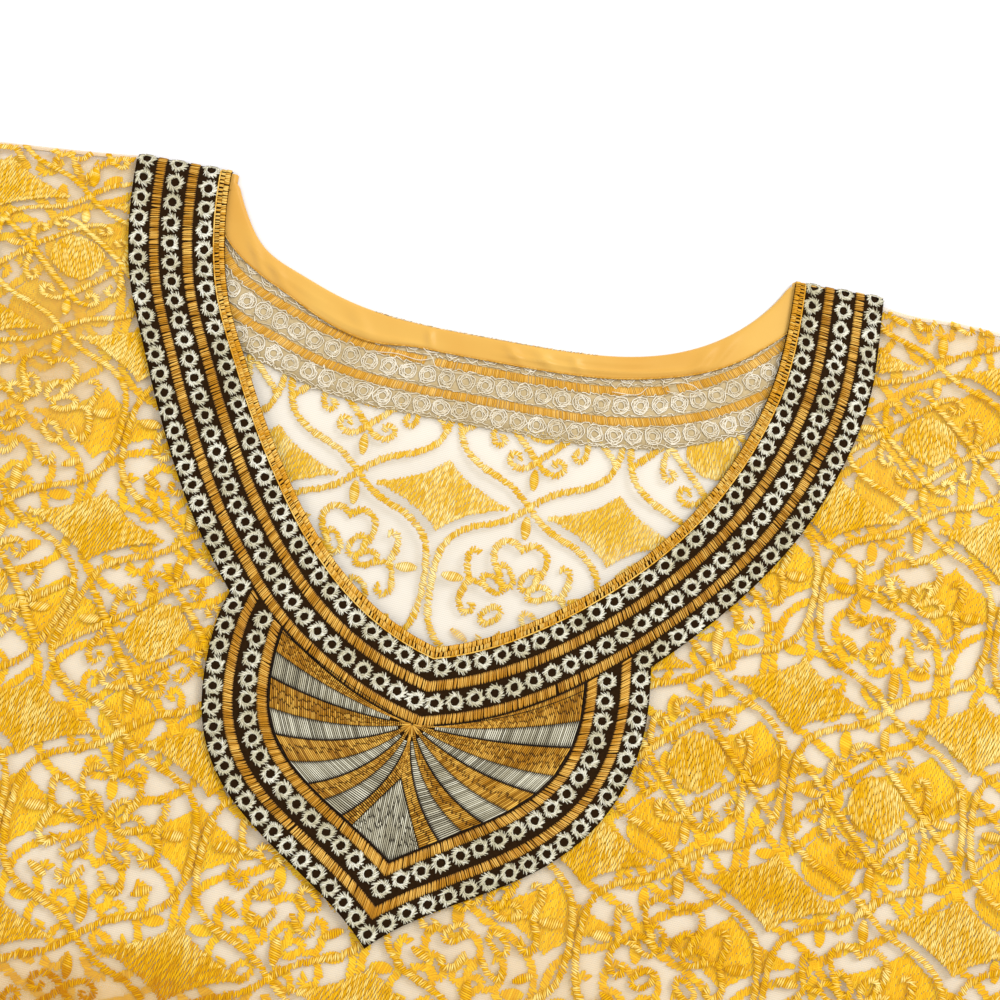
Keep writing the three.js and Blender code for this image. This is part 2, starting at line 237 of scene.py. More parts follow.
def on_back(points, height=0.0):
    """A place on the back panel, as it lies."""
    x, y = points[..., 0], points[..., 1]
    calm = clamp((shoulder_y(x) - y) / 60)
    z = BACK_NET + BACK_IS_CALMER * uneven_at(x + 37, y - 21) * calm + puff_at(x, y) + height
    return np.stack([x, y, np.maximum(z, LOWEST)], -1)


def puff_at(x, y):
    """Inside the V nothing presses the back down, so it stands a little off the floor."""
    from_trim = ease(clamp((-to_neck(x - 4 * clamp(-y / 170), y) - 3) / 22))
    from_back_trim = ease(clamp((to_back_neck(x, y) - BACK_BAND_WIDTH["shoulder"]) / 16))
    return PUFF * from_trim * from_back_trim * (0.75 + 0.25 * np.sin(x / 17 + y / 29))


# %% [markdown]
# A satin stitch is a few threads laid side by side from edge to edge. Seen
# close, it is a low roof: high along its middle, low at both sides, where the
# next stitch begins and shadow gathers. The builder below makes thousands of
# them at once from their two ends. Each point keeps how high it is on its
# stitch and a number of its stitch's own, with the painted light and shade of
# the cloth's folds added to it, and the thread's colour comes from those two:
# painted shade low at the sides of each stitch, a painted highlight on its ridge.

# %% Stitches
MM = 0.001
SEWN_AT = 0.02
rng = np.random.default_rng(7)


def metres(points):
    out = np.array(points, float) * MM
    out[..., 1] += LENGTH / 2 * MM
    return out


def show(name, data):
    obj = bpy.data.objects.new(name, data)
    bpy.context.scene.collection.objects.link(obj)
    return obj


def mesh_piece(name, points, faces, material, values=None):
    """A mesh object in metres from points in millimetres and rows of corner numbers."""
    mesh = bpy.data.meshes.new(name)
    points = metres(points).astype(np.float32)
    faces = np.asarray(faces, np.int32)
    mesh.vertices.add(len(points))
    mesh.vertices.foreach_set("co", points.ravel())
    mesh.loops.add(faces.size)
    mesh.loops.foreach_set("vertex_index", faces.ravel())
    mesh.polygons.add(len(faces))
    mesh.polygons.foreach_set("loop_start", np.arange(0, faces.size, faces.shape[1], dtype=np.int32))
    mesh.polygons.foreach_set("use_smooth", np.ones(len(faces), bool))
    mesh.update(calc_edges=True)
    mesh.validate()
    for key, value in (values or {}).items():
        attribute = mesh.attributes.new(key, "FLOAT", "POINT")
        attribute.data.foreach_set("value", np.asarray(value, np.float32))
    obj = show(name, mesh)
    mesh.materials.append(material)
    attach(obj, "root")
    print(name, "triangles", len(faces) * (faces.shape[1] - 2))
    return obj


# Where the cloth turns to the light its thread is paler, and in its hollows deeper
SHADES = [
    # x, y, reach x, reach y, lighter or darker
    (-186, -340, 46, 24, -0.5), (-100, -330, 60, 16, -1.2), (120, -262, 46, 30, -0.25),
    (-205, -62, 34, 6, 0.5), (-160, -88, 12, 40, 0.35), (196, -84, 40, 26, 0.3), (-200, -30, 40, 30, 0.2),
    (-232, -150, 26, 60, -0.2), (-196, -250, 30, 14, 0.3), (205, -190, 22, 50, 0.2),
]
PROFILES = {
    # along the stitch: place, height, width
    2: [(0, 0.9, 1), (1, 0.9, 1)],
    3: [(0, 0.35, 0.8), (0.5, 1, 1), (1, 0.35, 0.85)],
    4: [(0, 0.1, 0.75), (0.2, 0.92, 1), (0.8, 0.92, 1), (1, 0.1, 0.75)],
}


def stitch_mesh(ends_a, ends_b, width, height, stations=3, tone=None):
    """Points, faces and values of a set of stitches, each from a to b."""
    a, b = np.asarray(ends_a, float), np.asarray(ends_b, float)
    n = len(a)
    run = b[:, :2] - a[:, :2]
    length = np.maximum(np.hypot(run[:, 0], run[:, 1]), 1e-6)
    side = np.stack([-run[:, 1], run[:, 0]], -1) / length[:, None]
    width = np.broadcast_to(width, n).astype(float)
    height = np.broadcast_to(height, n).astype(float)
    if tone is None:
        tone = rng.random(n)
    # Painted light and shade of the cloth's folds and hollows join each stitch's tone here
    tone = tone + patches(SHADES, a[:, 0], a[:, 1])
    rows, relief = [], []
    for t, up, wide in PROFILES[stations]:
        middle = a + (b - a) * t
        half = side * (0.5 * wide * width)[:, None]
        left, right, top = middle.copy(), middle.copy(), middle.copy()
        left[:, :2] += half
        right[:, :2] -= half
        top[:, 2] += height * up
        rows += [left, top, right]
        relief += [np.zeros(n), np.full(n, up), np.zeros(n)]
    points = np.stack(rows, 1)
    relief = np.stack(relief, 1)
    per = 3 * stations
    face = []
    for k in range(stations - 1):
        q = 3 * k
        face += [(q, q + 1, q + 4, q + 3), (q + 1, q + 2, q + 5, q + 4)]
    faces = (np.arange(n) * per)[:, None, None] + np.array(face)[None, :, ::-1]
    return points.reshape(-1, 3), faces.reshape(-1, 4), {
        "relief": relief.ravel(), "tone": np.repeat(tone, per)}


def sewn(lay, a, b, height, *thread):
    """Stitches between places on the flat, laid at a height over a surface."""
    return stitch_mesh(lay(a, height), lay(b, height), *thread)


def run_of(lay, points, height, width, up, stations=2):
    """A thread sewn down along a line of places."""
    return sewn(lay, points[:-1], points[1:], height, width, up, stations)


def stitch_piece(name, sets, material, slot):
    """One object from several sets of stitches."""
    points, faces, values = zip(*sets)
    starts = np.cumsum([0] + [len(p) for p in points[:-1]])
    faces = np.concatenate([f + start for f, start in zip(faces, starts)])
    merged = {key: np.concatenate([v[key] for v in values]) for key in values[0]}
    return mesh_piece(name, np.concatenate(points), faces, material, merged)


def thread_path(name, points, radius, material, turns=5):
    """A loose thread: a thin tube along points."""
    p = np.asarray(points, float)
    t = np.gradient(p, axis=0)
    t /= np.linalg.norm(t, axis=1)[:, None]
    u = np.cross(t, [0, 0, 1.0])
    u /= np.maximum(np.linalg.norm(u, axis=1)[:, None], 1e-6)
    v = np.cross(u, t)
    turn = (np.arange(turns) * 2 * np.pi / turns)[:, None]
    ring = p[:, None] + radius * (u[:, None] * np.cos(turn) + v[:, None] * np.sin(turn))
    k = np.arange(turns)
    face = np.stack([k, (k + 1) % turns, turns + (k + 1) % turns, turns + k], -1)
    faces = (np.arange(len(p) - 1) * turns)[:, None, None] + face
    count = len(p) * turns
    return mesh_piece(name, ring.reshape(-1, 3), faces.reshape(-1, 4), material,
                      {"relief": np.full(count, 0.8), "tone": np.full(count, 0.6)})


# %% [markdown]
# Curves are kept as paths: a place along the path gives a point and the
# direction away from it, and the path runs on straight past both its ends, so
# that offset rows can meet in a mitre at the V and at the shield's tip.

# %% Paths
class Path:
    def __init__(self, points):
        points = np.asarray(points, float)
        moved = np.hypot(*np.diff(points, axis=0).T) > 1e-9
        self.points = points[np.append(True, moved)]
        steps = np.hypot(*np.diff(self.points, axis=0).T)
        self.places = np.concatenate([[0], np.cumsum(steps)])
        self.length = self.places[-1]

    def at(self, place):
        place = np.asarray(place, float)
        i = np.clip(np.searchsorted(self.places, place, side="right") - 1, 0, len(self.places) - 2)
        step = self.points[i + 1] - self.points[i]
        size = self.places[i + 1] - self.places[i]
        point = self.points[i] + step * ((place - self.places[i]) / size)[..., None]
        away = np.stack([-step[..., 1], step[..., 0]], -1) / size[..., None]
        return point, away


def bezier(control, count=400):
    c = np.array(control, float)
    t = np.linspace(0, 1, count + 1)[:, None]
    s = 1 - t
    return s**3 * c[0] + 3 * t * s * s * c[1] + 3 * t * t * s * c[2] + t**3 * c[3]


def spline(points, steps=10):
    """A smooth line through points."""
    p = np.asarray(points, float)
    p = np.vstack([2 * p[0] - p[1], p, 2 * p[-1] - p[-2]])
    t = np.arange(steps)[:, None] / steps
    out = []
    for i in range(1, len(p) - 2):
        a, b, c, d = p[i - 1:i + 3]
        bend, twist = 2 * a - 5 * b + 4 * c - d, 3 * b - a - 3 * c + d
        out.append(0.5 * (2 * b + (c - a) * t + bend * t**2 + twist * t**3))
    return np.vstack(out + [p[-2:-1]])


def evenly(points, pitch):
    path = Path(points)
    count = max(2, int(round(path.length / pitch)) + 1)
    return path.at(np.linspace(0, path.length, count))


neck = Path(bezier(NECK_CURVE))
NOTCH = float(next(d for d in np.arange(0, neck.length, 0.2)
                   if (neck.at(d)[0] + neck.at(d)[1] * BAND_WIDTH)[0] <= NOTCH_X))
notch_point = neck.at(NOTCH + 0.7)
shield_start = notch_point[0] + notch_point[1] * BAND_WIDTH
shield = Path(bezier([shield_start, SHIELD_SHOULDER, SHIELD_FLANK, SHIELD_TIP]))


def back_neck_curve():
    turn = np.linspace(-np.pi / 2, np.pi / 2, 1601)
    x = np.sign(turn) * BACK_NECK["half_width"] * np.abs(np.sin(turn)) ** (2 / BACK_NECK["flatness"])
    y = -BACK_NECK["depth"] * np.maximum(np.cos(turn), 0) ** (2 / BACK_NECK["dip"])
    keep = y < -(FOLD + 5 * SEAM)
    return np.stack([-x[keep], y[keep]], -1)


back_neck = Path(back_neck_curve())
inward = back_neck.at(back_neck.places)[1]
pull = CORNER_PULL["depth"] * bell((back_neck.points[:, 0] - CORNER_PULL["x"]) / CORNER_PULL["reach"])
back_neck = Path(back_neck.points + inward * pull[:, None])


def distance_from(path, x, y):
    """Distance from a path, more than 0 on the side where its offset rows lie, else less."""
    edge, places = path.points[::8], path.places[::8]
    d = np.hypot(x[..., None] - edge[:, 0], y[..., None] - edge[:, 1])
    nearest = d.argmin(-1)
    normal = path.at(places[nearest])[1]
    side = (x - edge[nearest, 0]) * normal[..., 0] + (y - edge[nearest, 1]) * normal[..., 1]
    return np.where(side >= 0, d.min(-1), -d.min(-1))


def to_neck(x, y):
    """Distance from the front neck edge, outward, for places on either side."""
    return distance_from(neck, np.abs(x), y)


def in_shield(x, y):
    """How far inside the shield's outline a place lies, or less than 0."""
    return -distance_from(shield, np.abs(x), y)


def to_back_neck(x, y):
    """Distance from the back neck edge, towards the hem."""
    return distance_from(back_neck, x, y)


print("neck edge half", round(neck.length, 1), "notch", round(NOTCH, 1), "shield half", round(shield.length, 1))

# %% [markdown]
# Embroidery thread is rayon or polyester: saturated in its folds, pale where
# the light runs along its back. That light and shade is painted into the
# colour here: one small group mixes three colours by how high a point is on
# its stitch and by the stitch's own number, a deep colour as painted shade
# at the sides of each stitch and a pale painted highlight on its ridge, in
# patches. The gloss stays on the shader itself.

# %% Materials


def linear(hex_colour):
    """A linear colour from the hexadecimal colour of a screen."""
    parts = [int(hex_colour[i:i + 2], 16) / 255 for i in (1, 3, 5)]
    return [c / 12.92 if c <= 0.04045 else ((c + 0.055) / 1.055) ** 2.4 for c in parts] + [1.0]


def wire(tree, source, target):
    tree.links.new(source, target)


def math_node(tree, operation, a, b=None, c=None):
    node = tree.nodes.new("ShaderNodeMath")
    node.operation = operation
    for socket, value in zip(node.inputs, (a, b, c)):
        if value is None:
            continue
        if isinstance(value, (int, float)):
            socket.default_value = value
        else:
            wire(tree, value, socket)
    return node.outputs[0]


def mix_colour(tree, share, a, b):
    node = tree.nodes.new("ShaderNodeMix")
    node.data_type = "RGBA"
    for socket, value in ((node.inputs[0], share), (node.inputs[6], a), (node.inputs[7], b)):
        if isinstance(value, (int, float, list)):
            socket.default_value = value
        else:
            wire(tree, value, socket)
    return node.outputs[2]


def noise(tree, scale, detail=2.0):
    where = tree.nodes.new("ShaderNodeTexCoord")
    node = tree.nodes.new("ShaderNodeTexNoise")
    node.inputs["Scale"].default_value = scale
    node.inputs["Detail"].default_value = detail
    wire(tree, where.outputs["Object"], node.inputs["Vector"])
    return node.outputs["Fac"]


def attribute(tree, name):
    node = tree.nodes.new("ShaderNodeAttribute")
    node.attribute_name = name
    return node.outputs["Fac"]


def clamped(tree, value):
    return math_node(tree, "MINIMUM", math_node(tree, "MAXIMUM", value, 0.0), 1.0)


# How soon the painted shade at a thread's side gives way to its full colour, how much of that its tone decides,
# and its painted highlight
BODY = {"gain": 1.9, "softness": 0.2, "by_tone": 0.8, "least": 0.62}
PAINTED_HIGHLIGHT = {"patch_scale": 60, "patches": 2.2, "starts_at": 1.38, "gain": 1.6}


def thread_group():
    tree = bpy.data.node_groups.new("thread_colour", "ShaderNodeTree")
    for name in ("Deep", "Body", "Painted_highlight"):
        tree.interface.new_socket(name, in_out="INPUT", socket_type="NodeSocketColor")
    tree.interface.new_socket("Colour", in_out="OUTPUT", socket_type="NodeSocketColor")
    start, end = tree.nodes.new("NodeGroupInput"), tree.nodes.new("NodeGroupOutput")
    relief, tone = attribute(tree, "relief"), attribute(tree, "tone")
    # Painted shade: low at the sides of each stitch, and on stitches of low tone, the deep colour shows
    rise = math_node(tree, "MULTIPLY", relief, BODY["gain"])
    rise = math_node(tree, "SMOOTH_MIN", rise, 1.0, BODY["softness"])
    full = clamped(tree, math_node(tree, "MULTIPLY_ADD", tone, BODY["by_tone"], BODY["least"]))
    rise = math_node(tree, "MULTIPLY", rise, full)
    low = mix_colour(tree, rise, start.outputs["Deep"], start.outputs["Body"])
    # Painted highlight: pale on the ridge of a stitch, in noise patches and where its tone is high
    lit = math_node(tree, "MULTIPLY_ADD", noise(tree, PAINTED_HIGHLIGHT["patch_scale"]), PAINTED_HIGHLIGHT["patches"], tone)
    lit = math_node(tree, "SUBTRACT", lit, PAINTED_HIGHLIGHT["starts_at"])
    lit = math_node(tree, "MULTIPLY", lit, PAINTED_HIGHLIGHT["gain"])
    lit = clamped(tree, math_node(tree, "MULTIPLY", lit, relief))
    wire(tree, mix_colour(tree, lit, low, start.outputs["Painted_highlight"]), end.inputs["Colour"])
    return tree


NET_THREADS = [
    # share of x, share of y, weight
    (0.08, 1.0, 1.0), (0.87, 0.5, 0.35), (0.87, -0.5, 0.35),
]


def net_group():
    """A mask of fine net: 1 on a thread and 0 in a hole."""
    tree = bpy.data.node_groups.new("net_mask", "ShaderNodeTree")
    tree.interface.new_socket("Pitch", in_out="INPUT", socket_type="NodeSocketFloat")
    tree.interface.new_socket("Mask", in_out="OUTPUT", socket_type="NodeSocketFloat")
    start, end = tree.nodes.new("NodeGroupInput"), tree.nodes.new("NodeGroupOutput")
    where = tree.nodes.new("ShaderNodeTexCoord")
    split = tree.nodes.new("ShaderNodeSeparateXYZ")
    wire(tree, where.outputs["Object"], split.inputs[0])
    turns = math_node(tree, "DIVIDE", 2 * math.pi, start.outputs["Pitch"])
    lines = []
    for across, down, weight in NET_THREADS:
        x = math_node(tree, "MULTIPLY", split.outputs[0], across)
        y = math_node(tree, "MULTIPLY", split.outputs[1], down)
        wave = math_node(tree, "SINE", math_node(tree, "MULTIPLY", math_node(tree, "ADD", x, y), turns))
        lines.append(math_node(tree, "MULTIPLY", math_node(tree, "MAXIMUM", wave, 0.0), weight))
    both = math_node(tree, "MAXIMUM", math_node(tree, "MAXIMUM", lines[0], lines[1]), lines[2])
    wire(tree, both, end.inputs["Mask"])
    return tree


THREAD = thread_group()
NET = net_group()
NET_PITCH = 0.8 * MM
HAZE_AND_SHADE_COLOUR = "#E8B458"
HAZE_AND_SHADE_SHARE = 0.5


def new_material(name, roughness, gloss):
    material = bpy.data.materials.new(name)
    material.use_nodes = True
    shader = material.node_tree.nodes["Principled BSDF"]
    shader.inputs["Roughness"].default_value = roughness
    shader.inputs["Specular IOR Level"].default_value = gloss
    return material, material.node_tree, shader


def group_node(tree, group):
    node = tree.nodes.new("ShaderNodeGroup")
    node.node_tree = group
    return node


def thread_material(name, deep, body, painted_highlight, roughness, gloss):
    material, tree, shader = new_material(name, roughness, gloss)
    group = group_node(tree, THREAD)
    for socket, colour in zip(group.inputs, (deep, body, painted_highlight)):
        socket.default_value = linear(colour)
    wire(tree, group.outputs["Colour"], shader.inputs["Base Color"])
    return material


def net_material(name, colour, thread_share, hole_share):
    """Fine net: see-through between its threads, and hazy as it is in real light. Its haze mask thickens and
    tints it, partly for layers lying together and partly as painted shade.
    """
    material, tree, shader = new_material(name, 0.7, 0.1)
    haze_and_shade = attribute(tree, "haze_and_shade")
    tinted = mix_colour(tree, haze_and_shade, linear(colour), linear(HAZE_AND_SHADE_COLOUR))
    wire(tree, tinted, shader.inputs["Base Color"])
    group = group_node(tree, NET)
    group.inputs["Pitch"].default_value = NET_PITCH
    share = math_node(tree, "MULTIPLY_ADD", group.outputs["Mask"], thread_share - hole_share, hole_share)
    wire(tree, math_node(tree, "MULTIPLY_ADD", haze_and_shade, HAZE_AND_SHADE_SHARE, share), shader.inputs["Alpha"])
    return material


def cloth_material(name, dark, light, scale, roughness=0.85, bump=0.3, gloss=0.08):
    """A plain woven ground: two near colours, mottled, with a fine bump."""
    material, tree, shader = new_material(name, roughness, gloss)
    fac = noise(tree, scale, 3.0)
    wire(tree, mix_colour(tree, fac, linear(dark), linear(light)), shader.inputs["Base Color"])
    bumps = tree.nodes.new("ShaderNodeBump")
    bumps.inputs["Strength"].default_value = bump
    bumps.inputs["Distance"].default_value = 0.3 * MM
    wire(tree, fac, bumps.inputs["Height"])
    wire(tree, bumps.outputs["Normal"], shader.inputs["Normal"])
    return material


# Each thread: a deep colour, painted as shade at its stitches' sides; its body colour; and a pale painted
# highlight
lace_front = thread_material("lace_thread_front", "#C27E00", "#F9C400", "#FFF49E", 0.36, 0.14)
# The back's thread under the front: a weaker painted highlight, a flatter, more saturated colour and little
# gloss
lace_under = thread_material("lace_thread_under", "#DA9A00", "#FFC800", "#FFDE34", 0.5, 0.03)
lace_back = thread_material("lace_thread_in_v", "#CC9018", "#F6CA34", "#FFF8B8", 0.4, 0.14)
net_front = net_material("net_front", "#F6CC68", 0.16, 0.09)
# The back net's cream and its fairly high opacity are partly its own and partly painted warm shade under the
# lace
net_back = net_material("net_back", "#F8ECD2", 0.47, 0.38)
ring_thread = thread_material("ring_thread", "#4E442C", "#DCD4B2", "#FFFEF2", 0.5, 0.14)
ring_wrong = thread_material("ring_thread_wrong_side", "#967C4E", "#DFCFAC", "#FFF8E6", 0.6, 0.08)
gold_edge = thread_material("gold_thread_at_edge", "#B4780E", "#EDAE2A", "#FFE080", 0.36, 0.16)
gold_thread = thread_material("gold_thread", "#462804", "#CE8E1C", "#FFD068", 0.36, 0.2)
gold_dull = thread_material("gold_thread_in_fan", "#341C04", "#C4861C", "#F8C658", 0.4, 0.16)
gold_wrong = thread_material("gold_thread_wrong_side", "#BC8420", "#E2AA3E", "#F6CC74", 0.5, 0.08)
grey_thread = thread_material("grey_thread", "#1A1208", "#CCC4A6", "#FFFBE4", 0.42, 0.2)
dark_thread = thread_material("dark_thread", "#0C0704", "#20160E", "#3A2B20", 0.6, 0.1)
ground_dark = cloth_material("trim_ground", "#1C1005", "#33210F", 900, gloss=0.03)
ground_beige = cloth_material("trim_backing", "#B49D70", "#D8C49A", 500, bump=0.6)
# The satin's mottle of two colours is painted sheen and shade: broad lighter and darker patches
satin = cloth_material("facing_satin", "#D29230", "#EEC264", 22, roughness=0.4, bump=0.03, gloss=0.22)

# %% [markdown]
# The lace repeats in rows of round medallions, each pinched at its top and
# bottom where four lines cross. One row holds a flower between two scrolls,
# and the next a lattice with a filled middle and curls at its corners. Filled
# diamonds lie between the crossings. The machine stitches every line with
# satin stitch about 2.5 mm wide, and fills the diamonds with rows of upright
# stitches, so one repeat is written as lines, leaves and fills, each of which
# becomes stitches.

# %% One repeat of the lace
REPEAT_X = 70.3
REPEAT_Y = 76.5
LINE = 2.5
MEDALLION_SIDE = [(0, 38.25), (4.3, 34.3), (8.6, 31.2), (14.2, 28.5), (20, 26.4), (25.8, 23), (29.8, 18.9),
                  (32.2, 13.8), (33.3, 7), (33.6, 0)]
SCROLL = [(16.6, 16.4), (18.6, 17.2), (20.6, 15.2), (20.6, 10.4), (19.2, 5), (20.9, 0), (21.3, -5),
          (18.4, -8.1), (15.6, -6.4), (16.4, -4.2)]
SCROLL_SPUR = [(19.4, 5.2), (15.4, 4.6), (13.2, 4.0)]
LOW_CURL = [(3, -14), (6.4, -19), (10.6, -19.8), (11.4, -16.4)]
HEART = [(0.0, 20.6), (3.2, 23.2), (7.6, 23.0), (10.6, 19.4), (10.0, 13.6), (7.0, 9.0)]
PETALS = [(152, 10.6), (28, 10.6), (118, 10.4), (62, 10.4), (222, 10.8), (318, 10.8)]
PETAL_HALF = (4.6, 2.6)
CORNER_CURL = [(0, -19), (4, -22.4), (8.6, -22.9), (11.3, -20.4), (10.3, -17.2), (7.4, -17.4), (7.2, -19.4)]
SIDE_CURL = [(18.5, -3), (19.4, -8), (19.0, -13.2), (16.4, -15.4), (14.2, -13.2), (16.0, -11)]
LATTICE_HALF = 19.0
LATTICE_END = (32.2, 13.6)
FILL_HALF = 11.2
DIAMOND_HALF = (27.0, 14.4)
DIAMOND_POWER = 0.77
DIAMOND_AT = (REPEAT_X / 2, -REPEAT_Y / 2 - 2.4)
FILL_CLOSER = 0.74


def flipped(points, x=1, y=1):
    return [(px * x, py * y) for px, py in points]


def medallion_lines():
    whole = MEDALLION_SIDE + flipped(MEDALLION_SIDE[-2::-1], 1, -1)
    return [(spline(flipped(whole, side)), LINE) for side in (1, -1)]


def petal(angle, reach):
    turn = np.linspace(0, 2 * np.pi, 25)
    along, across = PETAL_HALF[0] * np.cos(turn) + reach, PETAL_HALF[1] * np.sin(turn)
    c, s = math.cos(math.radians(angle)), math.sin(math.radians(angle))
    return np.stack([along * c - across * s, along * s + across * c], -1)


def flower_lines():
    lines = [(petal(angle, reach), LINE * 0.9) for angle, reach in PETALS]
    for side in (1, -1):
        lines.append((spline(flipped(HEART, side)), LINE))
        lines.append((spline(flipped(SCROLL, side)), LINE))
        lines.append((spline(flipped(SCROLL_SPUR, side)), LINE * 0.8))
        lines.append((spline(flipped(LOW_CURL, side)), LINE))
    leaves = [((0, 34.4), (0, 25.2), 4.0), ((0, -33.6), (0, -23.0), 4.2)]
    for side in (1, -1):
        leaves.append(((side * 21.4, 4.4), (side * 30, 4.9), 3.9))
        leaves.append(((side * 15.5, -19.5), (side * 22.5, -15.6), 3.4))
    return lines, leaves


def lattice_lines():
    h = LATTICE_HALF
    cross = [(0, -h), (h * 0.5, -h * 0.5), (h, 0), LATTICE_END]
    lines = []
    for side in (1, -1):
        for up in (1, -1):
            for points, width in ((cross, 1), (CORNER_CURL, 0.95), (SIDE_CURL, 0.9)):
                lines.append((spline(flipped(points, side, up)), LINE * width))
    leaves = [((0, up * 22.4), (0, up * 31), 3.6) for up in (1, -1)]
    leaves += [((side * 21.6, 0), (side * 29.4, 0), 3.6) for side in (1, -1)]
    return lines, leaves


def motif_lines(kind):
    """The lines and leaves of a medallion and of what it holds."""
    lines, leaves = flower_lines() if kind == "flower" else lattice_lines()
    return medallion_lines() + lines, leaves


def superellipse(x, half, power, least=0.0):
    return half[1] * np.maximum(least, 1 - (np.abs(x) / half[0]) ** power) ** (1 / power)


class StitchList:
    """Stitches of one repeat, on the flat: two ends and a width each."""

    def __init__(self):
        self.a, self.b, self.w, self.h = [], [], [], []

    def add(self, a, b, w, h):
        self.a.append(np.reshape(a, (-1, 2)))
        self.b.append(np.reshape(b, (-1, 2)))
        n = len(self.a[-1])
        self.w.append(np.broadcast_to(w, n))
        self.h.append(np.broadcast_to(h, n))

    def line(self, points, width, pitch, slant=0.5):
        p, away = evenly(points, pitch)
        along = np.stack([away[:, 1], -away[:, 0]], -1)
        n = len(p)
        out = 0.5 * width * (1 + 0.2 * rng.standard_normal((n, 2)).clip(-1.6, 1.6))
        lean = (slant + 0.16 * rng.standard_normal((n, 1))) * width / 2
        a = p + away * out[:, :1] + along * lean
        b = p - away * out[:, 1:] - along * lean
        self.add(a, b, pitch * 1.02, 0.6)

    def leaf(self, tip_a, tip_b, width, pitch):
        a, b = np.array(tip_a, float), np.array(tip_b, float)
        n = max(4, int(np.hypot(*(b - a)) / pitch))
        t = (np.arange(n) + 0.5) / n
        half = 0.5 * width * np.sin(np.pi * (0.08 + 0.84 * t)) ** 0.8
        u = (b - a) / np.hypot(*(b - a))
        side = np.array([-u[1], u[0]])
        c = a + (b - a) * t[:, None]
        lean = u * (0.3 * half)[:, None]
        self.add(c + side * half[:, None] + lean, c - side * half[:, None] - lean, pitch * 1.15, 0.6)

    def fill(self, centre, half, power, pitch, reach, turn=0.0):
        """Upright stitches in staggered rows, up to a curved edge."""
        xs = np.arange(-half[0] + pitch / 2, half[0], pitch)
        a, b = [], []
        for k, x in enumerate(xs):
            top = max(0.35, float(superellipse(x, half, power)))
            y = -top - rng.random() * 1.1
            first = True
            while y < top:
                step = reach * (0.45 + 0.55 * ((k * 0.382) % 1)) if first else reach
                end = min(y + step, top + rng.random() * 1.1)
                if end - y > 0.3:
                    sway = 0.1 + 0.3 * rng.random()
                    a.append((x - sway, y))
                    b.append((x + sway, end + 0.25))
                y += step
                first = False
        c, s = math.cos(turn), math.sin(turn)
        spin = np.array([[c, s], [-s, c]])
        a, b = np.array(a) @ spin + centre, np.array(b) @ spin + centre
        self.add(a, b, pitch * 1.14, 0.42)

    def ribbons(self, centre, half, power, highest):
        """Level ribbons over the same shape, its half height given first."""
        x, middle = centre
        for y in np.arange(-highest, highest + 0.1, 2.8):
            reach = float(superellipse(y, half, power, 0.06))
            self.add((x - reach, middle + y), (x + reach, middle + y), 2.9, 0.4)

    def arrays(self):
        return [np.concatenate(v) for v in (self.a, self.b, self.w, self.h)]


def repeat_stitches(kind, pitch, wider):
    """A medallion with its motif, and the diamond at its lower right."""
    s = StitchList()
    lines, leaves = motif_lines(kind)
    for points, width in lines:
        s.line(points, width * wider, pitch)
    for a, b, width in leaves:
        s.leaf(a, b, width * wider, pitch)
    if kind == "lattice":
        s.fill((0, 0.4), (FILL_HALF, FILL_HALF), 1.6, pitch * FILL_CLOSER, 2.9, 0.3)
    s.fill(DIAMOND_AT, DIAMOND_HALF, DIAMOND_POWER, pitch * FILL_CLOSER, 3.1)
    return s.arrays()


def repeat_ribbons(kind, step):
    """The same repeat drawn coarsely, for cloth far from the camera."""
    s = StitchList()
    lines, leaves = motif_lines(kind)
    for points, width in lines:
        p, _ = evenly(points, step)
        s.add(p[:-1], p[1:], width, 0.5)
    for a, b, width in leaves:
        s.add(a, b, width * 0.8, 0.5)
    if kind == "lattice":
        s.ribbons((0, 0), (FILL_HALF, FILL_HALF), 1.45, 8.4)
    s.ribbons(DIAMOND_AT, DIAMOND_HALF[::-1], DIAMOND_POWER, 12.6)
    return s.arrays()


# %% [markdown]
# Each panel carries the repeat in its own place: on the back it is level and
# regular, and on the front it has moved with the cloth. Only the cloth near
# the camera gets single stitches. Further off, where a millimetre is less than
# a pixel, each line is a plain raised ribbon.

# %% Laying the lace on the panels
SEEN = np.array([(-229, 56), (-140, -335), (238, -272), (187, 141)])
SEEN_MARGIN = 46
PATTERN = {
    "back": {"x": -45.5, "y": -111.9, "tilt": -0.030, "repeat": (70.3, 76.5)},
    "front": {"x": 182.0, "y": -89.6, "tilt": 0.0, "repeat": (71.0, 78.2)},
}
SHOULDER_SQUEEZE = 0.85
STITCH_PITCH = 0.82
STITCHES = {
    # part: from stitch to stitch, how much wider its lines are
    "near": (STITCH_PITCH, 1.04), "under": (1.02, 1.22),
}
RIBBON_STEP = {"front": 6.0, "back": 7.6}
LACE_LIES = 0.05
MOST_TRIANGLES = 190000
# The front lies askew: its rows climb to the left, more so further down, and its left side spreads
FRONT_CLIMB = [(-300, 0.062), (-209, 0.063), (-130, 0.055), (-59, 0.033), (-23, 0.008), (0, 0)]
FRONT_SPREAD = [(-300, -0.055), (-230, -0.055), (-190, -0.022), (-60, 0), (0, 0)]
# Ends of motifs that run over the left shoulder from the back
SHOULDER_SCROLLS = [
    [(-191.5, -12.0), (-191.5, -8.0), (-188.7, -5.9), (-185.7, -6.4), (-183.4, -9.5), (-182.1, -13.2)],
    [(-177.8, -14.1), (-173.2, -8.4), (-168.9, -5.3), (-164.3, -3.5), (-160.5, -3.2)],
    [(-217.2, -8.0), (-210.8, -7.3), (-207.8, -7.8), (-204.8, -11.5)],
]


